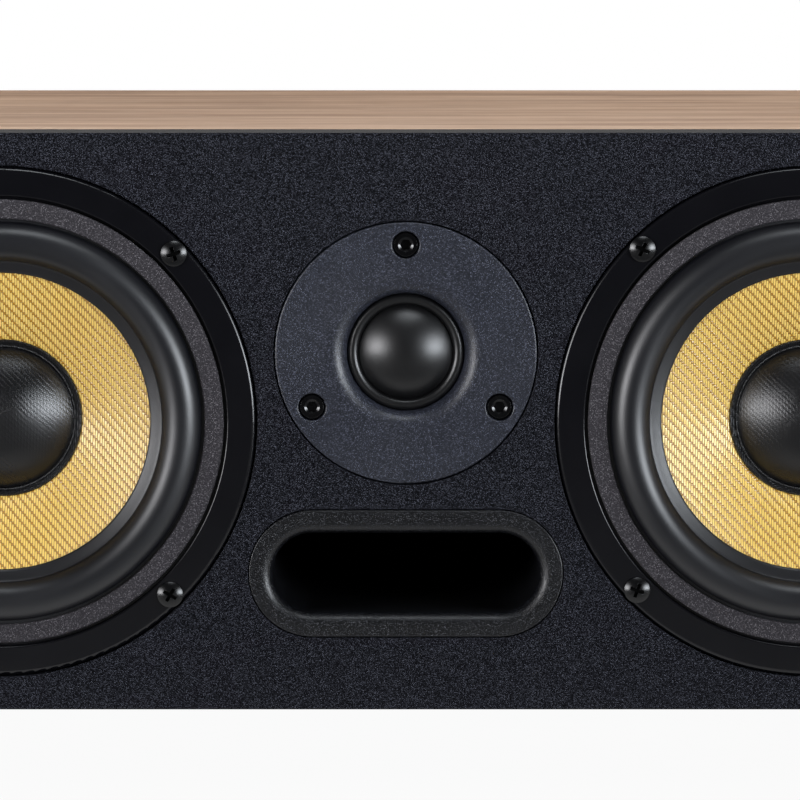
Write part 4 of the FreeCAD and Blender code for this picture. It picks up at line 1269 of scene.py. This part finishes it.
@dataclass
class Screws:
    """The pan-head screws of both woofers. Lengths are in millimetres, as for the woofers.

    Attributes:
        circle: Radius of the circle that a woofer's screws stand on.
        start: Angle of the first one in degrees.
        cross_turns: How far each one's cross is turned, in degrees.
        spin_steps: Steps of the spin about a screw's axis.
        head_radius: Radius of the head.
        head_height: Height of the head.
        shoulder: Height of the head's straight side.
        shank_radius: Radius of the shank.
        shank_length: Length of the shank.
        cross_width: Width of the cross's bars.
        cross_length: Length of the bars.
        cross_depth: Depth of the cross.
        edge: Width of the softened edges.
        edge_steps: Segments of that softening.
        edge_angle: Edges sharper than this are softened, in degrees.
        smooth_angle: Edges flatter than this are shaded smooth, in degrees.
    """

    circle: float = 66.5
    start: float = 44.25
    cross_turns: tuple[float, ...] = (70.0, 25.0, 20.0, 30.0)
    spin_steps: int = 64
    head_radius: float = 3.55
    head_height: float = 1.75
    shoulder: float = 0.65
    shank_radius: float = 1.9
    shank_length: float = 16.0
    cross_width: float = 0.95
    cross_length: float = 3.9
    cross_depth: float = 1.2
    edge: float = 0.05
    edge_steps: int = 2
    edge_angle: float = 40.0
    smooth_angle: float = 30.0

    @property
    def rise(self) -> float:
        """Height of the head's dome above its straight side."""
        return self.head_height - self.shoulder

    def blank(self) -> bpy.types.Object:
        """Model one screw on the frame's own Y axis, with a plain domed head.

        Returns:
            The screw.
        """
        flank = dome_flank(self.head_radius, self.rise, -self.head_height)
        outline = Outline(0, -self.head_height)
        outline.arc(flank, (self.head_radius, -self.shoulder), count=16)
        outline.line(self.head_radius, 0).line(self.shank_radius, 0)
        outline.line(self.shank_radius, self.shank_length - self.shank_radius).line(0, self.shank_length)
        return Bench.spun("woofer_screw", 0.0, 0.0, outline, self.spin_steps)

    def cross(self) -> bpy.types.Object:
        """Model the cross that is cut from a head: two bars over one another.

        Returns:
            The cutter.
        """
        front = baffle_front()
        middle = (0.0, front - self.head_height * MM, 0.0)
        bar = Vector((self.cross_length, 2 * self.cross_depth, self.cross_width)) * MM
        Bench.clear()
        bpy.ops.mesh.primitive_cube_add(size=1.0, location=middle, scale=bar)
        cutter = bpy.context.object
        cutter.name = "cross_cutter"
        bpy.ops.object.transform_apply(location=True, rotation=True, scale=True)
        bpy.ops.object.mode_set(mode="EDIT")
        bpy.ops.mesh.primitive_cube_add(size=1.0, location=middle, scale=bar.zyx)
        bpy.ops.object.mode_set(mode="OBJECT")
        return cutter

    def cut(self, screw: bpy.types.Object) -> None:
        """Cut the cross into a head and soften the edges.

        Args:
            screw: The plain screw.
        """
        cutter = self.cross()
        Bench.hold(screw)
        recess = screw.modifiers.new("recess", "BOOLEAN")
        recess.operation = "DIFFERENCE"
        recess.object = cutter
        recess.use_self = True
        bpy.ops.object.modifier_apply(modifier="recess")
        soft = screw.modifiers.new("soft", "BEVEL")
        soft.width = self.edge * MM
        soft.segments = self.edge_steps
        soft.limit_method = "ANGLE"
        soft.angle_limit = math.radians(self.edge_angle)
        bpy.ops.object.modifier_apply(modifier="soft")
        bpy.ops.object.shade_smooth_by_angle(angle=math.radians(self.smooth_angle))
        bpy.data.objects.remove(cutter)

    def crown(self, out: float) -> float:
        """Height of the plain domed head at a distance from its middle."""
        bend = dome_bend(self.head_radius, self.rise)
        return self.head_height - bend + math.sqrt(max(bend ** 2 - out ** 2, 0.0))

    def paint_recess_shade(self, screw: bpy.types.Object) -> None:
        """Give a cut screw its finishes, with painted shade on the faces inside the cross: a darker, duller
        finish that stands for the shade of a deep recess.

        Args:
            screw: The cut screw.
        """
        paint(screw, BLACK_STEEL, SCREW_RECESS_SHADE)
        front = baffle_front()
        for face in screw.data.polygons:
            out = math.hypot(face.center.x, face.center.z) / MM
            height = (front - face.center.y) / MM
            inside = out < self.cross_length / 2 and self.head_height - 2 * self.cross_depth < height
            # Faces inside the cross, below the head's dome, get the painted shade.
            if inside and height < self.crown(out) - 2 * self.edge:
                face.material_index = 1

    def build(self) -> None:
        """Model one screw, and copy it to its eight places."""
        first = self.blank()
        self.cut(first)
        self.paint_recess_shade(first)
        copies = []
        for side in Side:
            x, z = Woofer(side).axis
            for number, turn in enumerate(self.cross_turns):
                angle = math.radians(self.start + 360 / len(self.cross_turns) * number)
                Bench.hold(first)
                bpy.ops.object.duplicate()
                copy = bpy.context.object
                copy.rotation_euler = (0.0, math.radians(turn), 0.0)
                copy.location = (x + self.circle * MM * math.cos(angle), 0.0,
                                 z + self.circle * MM * math.sin(angle))
                Bench.settle(copy)
                copies.append(copy)
        bpy.data.objects.remove(first)
        Bench.clear()
        for copy in copies:
            copy.select_set(True)
        bpy.context.view_layer.objects.active = copies[0]
        bpy.ops.object.join()
        piece = bpy.context.object
        piece.name = "pan_screws"
        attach(piece, "cabinet")
        stand_for(piece, "woofer_screws")


@dataclass
class Tweeter:
    """The dome tweeter. Lengths are in millimetres, as for the woofers.

    Attributes:
        spin_steps: Steps of the spin about its axis.
        dome_radius: Radius of the dome.
        dome_height: Its height.
        dome_thickness: Thickness of its cloth.
        dome_back: Share of the dome's radius that its back has halfway down.
        throat: Outer radius of the small roll, where the faceplate's opening begins.
        rim_width: Width of the clamped rim.
        rim_depth: Depth of the rim's front, at the back of the faceplate.
    """

    spin_steps: int = 128
    dome_radius: float = 13.0
    dome_height: float = 5.4
    dome_thickness: float = 0.35
    dome_back: float = 0.97
    throat: float = 16.2
    rim_width: float = 3.2
    rim_depth: float = 5.0

    def build(self) -> None:
        """Model the soft dome with its small roll and clamped rim."""
        low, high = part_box("tweeter_dome")
        front = self.rim_depth
        back = front + self.dome_thickness
        roll = (self.throat - self.dome_radius) / 2
        middle = self.dome_radius + roll
        rim = self.throat + self.rim_width
        crown = front - self.dome_height
        flank = dome_flank(self.dome_radius, self.dome_height, crown)
        outline = Outline(0, crown)
        outline.arc(flank, (self.dome_radius, front), count=28)
        outline.arc((middle, front - roll), (self.throat, front), count=10)
        outline.line(rim, front).line(rim, back).line(self.throat - self.dome_thickness, back)
        outline.arc((middle, back - roll), (self.dome_radius + self.dome_thickness, back), count=8)
        outline.line(self.dome_radius - self.dome_thickness, back)
        inner = (flank[0] * self.dome_back, flank[1] + self.dome_thickness)
        outline.arc(inner, (0, crown + self.dome_thickness), count=14)
        x, z = (low[0] + high[0]) / 2, (low[2] + high[2]) / 2
        piece = Bench.spun("soft_dome", x, z, outline, self.spin_steps)
        paint(piece, DOME_CLOTH)
        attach(piece, "cabinet")
        stand_for(piece, "tweeter_dome")

    def dress(self) -> None:
        """Finish the faceplate, its screws and the motor."""
        finishes = {"tweeter_plate": PLATE_PLASTIC, "tweeter_screws": SOCKET_STEEL, "tweeter_coil": COPPER,
                    "tweeter_top_plate": MOTOR_STEEL, "tweeter_magnet": FERRITE, "tweeter_yoke": MOTOR_STEEL,
                    "tweeter_tag_strip": FIBRE_BOARD}
        for node, finish in finishes.items():
            dress(node, finish)


@dataclass
class Terminals:
    """The binding posts at the back.

    Attributes:
        plastics: The finish of each post's base and knob.
    """

    plastics: dict[Post, Finish] = field(
        default_factory=lambda: {Post.RED: RED_PLASTIC, Post.BLACK: BLACK_PLASTIC})

    def dress(self) -> None:
        """Finish both posts and their nuts."""
        for post, plastic in self.plastics.items():
            dress(f"{post.value}_stud", BRASS)
            dress(f"{post.value}_washer", BRASS)
            dress(f"{post.value}_base", plastic)
            dress(f"{post.value}_knob", plastic)
        dress("post_nuts", BRASS)


@dataclass
class Inside:
    """What the closed cabinet holds: the crossover, the leads and the wadding.

    Attributes:
        swell: How far the wadding's faces wander in metres.
        cloud: Size of those swellings in metres.
        rounding: Rounding of a pad's edges, as a share of its thickness.
        rounding_steps: Segments of that rounding.
        cuts: How often each edge is cut to carry the swellings.
        smooth_angle: Edges flatter than this are shaded smooth, in degrees.
    """

    swell: float = 0.003
    cloud: float = 0.03
    rounding: float = 0.3
    rounding_steps: int = 3
    cuts: int = 10
    smooth_angle: float = 60.0

    def pad(self, node: str) -> None:
        """Model one wadding pad as a soft slab with rounded, uneven faces.

        Args:
            node: The pad's node, whose box it stays in.
        """
        low, high = (Vector(corner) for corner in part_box(node))
        room = Vector((self.swell, self.swell, self.swell))
        Bench.clear()
        size = high - low - 2 * room
        bpy.ops.mesh.primitive_cube_add(size=1.0, location=(low + high) / 2, scale=size)
        piece = bpy.context.object
        piece.name = node + "_pad"
        Bench.settle(piece)
        bpy.ops.object.mode_set(mode="EDIT")
        bpy.ops.mesh.select_all(action="SELECT")
        bpy.ops.mesh.bevel(offset=min(size) * self.rounding, segments=self.rounding_steps, affect="EDGES")
        bpy.ops.mesh.select_all(action="SELECT")
        bpy.ops.mesh.subdivide(number_cuts=self.cuts)
        bpy.ops.object.mode_set(mode="OBJECT")
        cloud = bpy.data.textures.new(node + "_cloud", "CLOUDS")
        cloud.noise_scale = self.cloud
        fluff = piece.modifiers.new("fluff", "DISPLACE")
        fluff.texture = cloud
        fluff.strength = self.swell
        fluff.mid_level = 0.5
        bpy.ops.object.modifier_apply(modifier="fluff")
        bpy.ops.object.shade_smooth_by_angle(angle=math.radians(self.smooth_angle))
        paint(piece, WADDING)
        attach(piece, "cabinet")
        stand_for(piece, node)

    def build(self) -> None:
        """Model the wadding."""
        self.pad("top_wadding")
        self.pad("rear_wadding")

    def dress(self) -> None:
        """Finish the crossover and the leads."""
        finishes = {"crossover_board": CIRCUIT_BOARD, "crossover_spacers": BLACK_PLASTIC,
                    "crossover_coils": COPPER, "crossover_capacitors": FILM, "crossover_resistors": CERAMIC,
                    "left_woofer_leads": SLEEVE, "right_woofer_leads": SLEEVE, "tweeter_leads": SLEEVE,
                    "input_leads": SLEEVE}
        for node, finish in finishes.items():
            dress(node, finish)


@dataclass(frozen=True)
class Lamp:
    """One soft studio light.

    Attributes:
        name: The light's name.
        place: Where it stands.
        aim: The point that it faces.
        face: Width and height of its face.
        power: Power in watts.
        spread: Angle that its grid lets through, in degrees.
        colour: Its tint.
    """

    name: str
    place: Point
    aim: Point
    face: tuple[float, float]
    power: float
    spread: float
    colour: tuple[float, float, float]

    def hang(self) -> None:
        """Add the light and turn it to its aim."""
        Bench.clear()
        bpy.ops.object.light_add(type="AREA", location=self.place)
        lamp = bpy.context.object
        lamp.name = self.name
        lamp.data.shape = "RECTANGLE"
        lamp.data.size, lamp.data.size_y = self.face
        lamp.data.energy = self.power
        lamp.data.spread = math.radians(self.spread)
        lamp.data.color = self.colour
        lamp.rotation_euler = (Vector(self.aim) - Vector(self.place)).to_track_quat("-Z", "Y").to_euler()


BAFFLE_AIM = (-0.0016, -0.12, 0.42)
BROW_AIM = (0.05, -0.12, 0.2)
LID_AIM = (0.0, 0.1, 0.16)
LAMPS = (
    Lamp("right_softbox", place=(1.42, -1.23, 0.42), aim=BAFFLE_AIM, face=(1.15, 0.84), power=5.6,
         spread=48.0, colour=(0.89, 0.94, 1.0)),
    Lamp("left_softbox", place=(-1.42, -1.23, 0.42), aim=BAFFLE_AIM, face=(1.15, 0.84), power=4.4,
         spread=48.0, colour=(0.97, 0.97, 1.0)),
    Lamp("front_softbox", place=(0.15, -0.5, 1.05), aim=BROW_AIM, face=(0.9, 0.3), power=0.42,
         spread=44.0, colour=(0.9, 0.95, 1.0)),
    Lamp("top_softbox", place=(0.0, 0.55, 0.75), aim=LID_AIM, face=(0.9, 0.4), power=1.1,
         spread=50.0, colour=(1.0, 0.97, 0.92)),
)


@dataclass
class Stage:
    """Floor, light and camera.

    Attributes:
        target: The point in the middle of the picture.
        distance: From the camera to that point.
        pitch: How far the camera looks down, in degrees.
        view_width: Width that the picture shows at the target.
        sensor: Width of the camera's sensor in millimetres.
        floor_size: Side of the floor.
        floor_colour: Its colour under the lamps.
        floor_glow: Shares of plain white that it shows to the camera and in reflections, near and far.
        glow_reach: Distances from the object at which those shares hold.
        glow_front: Places along Y between which reflections lose that white, just before the object's front.
        sky: Brightness of the plain surroundings.
        sky_back: Slopes towards the back between which the surroundings brighten in reflections.
        sky_mirrored: Share of the way to plain white that they reach there.
        lamps: The lights.
    """

    target: Point = (-0.0016, -0.120, 0.0857)
    distance: float = 2.0
    pitch: float = 5.2
    view_width: float = 0.2197
    sensor: float = 36.0
    floor_size: float = 30.0
    floor_colour: Colour = (0.5, 0.5, 0.5, 1.0)
    floor_glow: tuple[float, float] = (0.94, 1.0)
    glow_reach: tuple[float, float] = (0.3, 1.3)
    glow_front: tuple[float, float] = (-0.2, -0.13)
    sky: float = 0.06
    sky_back: tuple[float, float] = (0.1, 0.5)
    sky_mirrored: float = 0.1
    lamps: tuple[Lamp, ...] = LAMPS

    @staticmethod
    def seen(graph: Graph, mirrored: bpy.types.NodeSocket) -> bpy.types.NodeSocket:
        """Find how much of the plain white background a ray sees.

        Args:
            graph: The tree of the floor or of the surroundings.
            mirrored: Share of it that shows in reflections and through clear pieces.

        Returns:
            One for the camera's own rays, and that share for the others.
        """
        path = graph.node("ShaderNodeLightPath")
        bent = graph.maths("MAXIMUM", path.outputs["Is Glossy Ray"], path.outputs["Is Transmission Ray"])
        return graph.maths("MAXIMUM", path.outputs["Is Camera Ray"], graph.maths("MULTIPLY", bent, mirrored))

    def floor(self) -> None:
        """Lay the pale floor."""
        Bench.clear()
        bpy.ops.mesh.primitive_plane_add(size=self.floor_size, location=(0, 0, 0))
        floor = bpy.context.object
        floor.name = "floor"
        material = bpy.data.materials.new("Pale floor")
        material.use_nodes = True
        tree = material.node_tree
        graph = Graph(tree)
        matt = tree.nodes["Principled BSDF"]
        matt.inputs["Base Color"].default_value = self.floor_colour
        matt.inputs["Roughness"].default_value = 0.9
        matt.inputs["Specular IOR Level"].default_value = 0.0
        place = graph.place()
        away = graph.node("ShaderNodeVectorMath", {0: place}, operation="LENGTH").outputs["Value"]
        along = graph.node("ShaderNodeSeparateXYZ", {0: place}).outputs["Y"]
        seen = self.seen(graph, graph.spread(along, *self.glow_front, 0.0, 1.0))
        share = graph.maths("MULTIPLY", seen, graph.spread(away, *self.glow_reach, *self.floor_glow))
        white = graph.node("ShaderNodeEmission", {"Color": WHITE, "Strength": 1.0})
        both = graph.node("ShaderNodeMixShader", {0: share, 1: matt.outputs[0], 2: white.outputs[0]})
        graph.feed(tree.nodes["Material Output"].inputs["Surface"], both.outputs[0])
        floor.data.materials.append(material)

    def light(self) -> None:
        """Set the surroundings and hang the lamps."""
        world = bpy.data.worlds.new("Plain room")
        bpy.context.scene.world = world
        world.use_nodes = True
        ground = world.node_tree.nodes["Background"]
        ground.inputs["Color"].default_value = WHITE
        graph = Graph(world.node_tree)
        way = graph.node("ShaderNodeTexCoord").outputs["Generated"]
        back = graph.node("ShaderNodeSeparateXYZ", {0: way}).outputs["Y"]
        seen = self.seen(graph, graph.spread(back, *self.sky_back, 0.0, self.sky_mirrored))
        graph.feed(ground.inputs["Strength"], graph.spread(seen, 0.0, 1.0, self.sky, 1.0))
        for lamp in self.lamps:
            lamp.hang()

    def camera(self) -> None:
        """Place the camera at the photograph's angle."""
        target = Vector(self.target)
        tilt = math.radians(self.pitch)
        place = target + Vector((0, -math.cos(tilt), math.sin(tilt))) * self.distance
        Bench.clear()
        bpy.ops.object.camera_add(location=place)
        camera = bpy.context.object
        camera.name = "photo_camera"
        camera.rotation_euler = (target - place).to_track_quat("-Z", "Y").to_euler()
        camera.data.sensor_fit = "HORIZONTAL"
        camera.data.sensor_width = self.sensor
        camera.data.lens = self.sensor * self.distance / self.view_width
        bpy.context.scene.camera = camera

    def build(self) -> None:
        """Set the whole stage."""
        self.floor()
        self.light()
        self.camera()
        bpy.context.scene.view_settings.view_transform = "Standard"


def main() -> None:
    """Build the stage and every sub-assembly."""
    logging.basicConfig(level=logging.INFO, format="%(name)s: %(message)s")
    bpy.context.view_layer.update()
    Stage().build()
    cabinet = Cabinet()
    tweeter = Tweeter()
    inside = Inside()
    woofers = [Woofer(side) for side in Side]
    for assembly in (cabinet, Screws(), tweeter, inside, *woofers):
        assembly.build()
    for assembly in (cabinet, tweeter, inside, *woofers, Terminals()):
        assembly.dress()


if __name__ == "__main__":
    main()
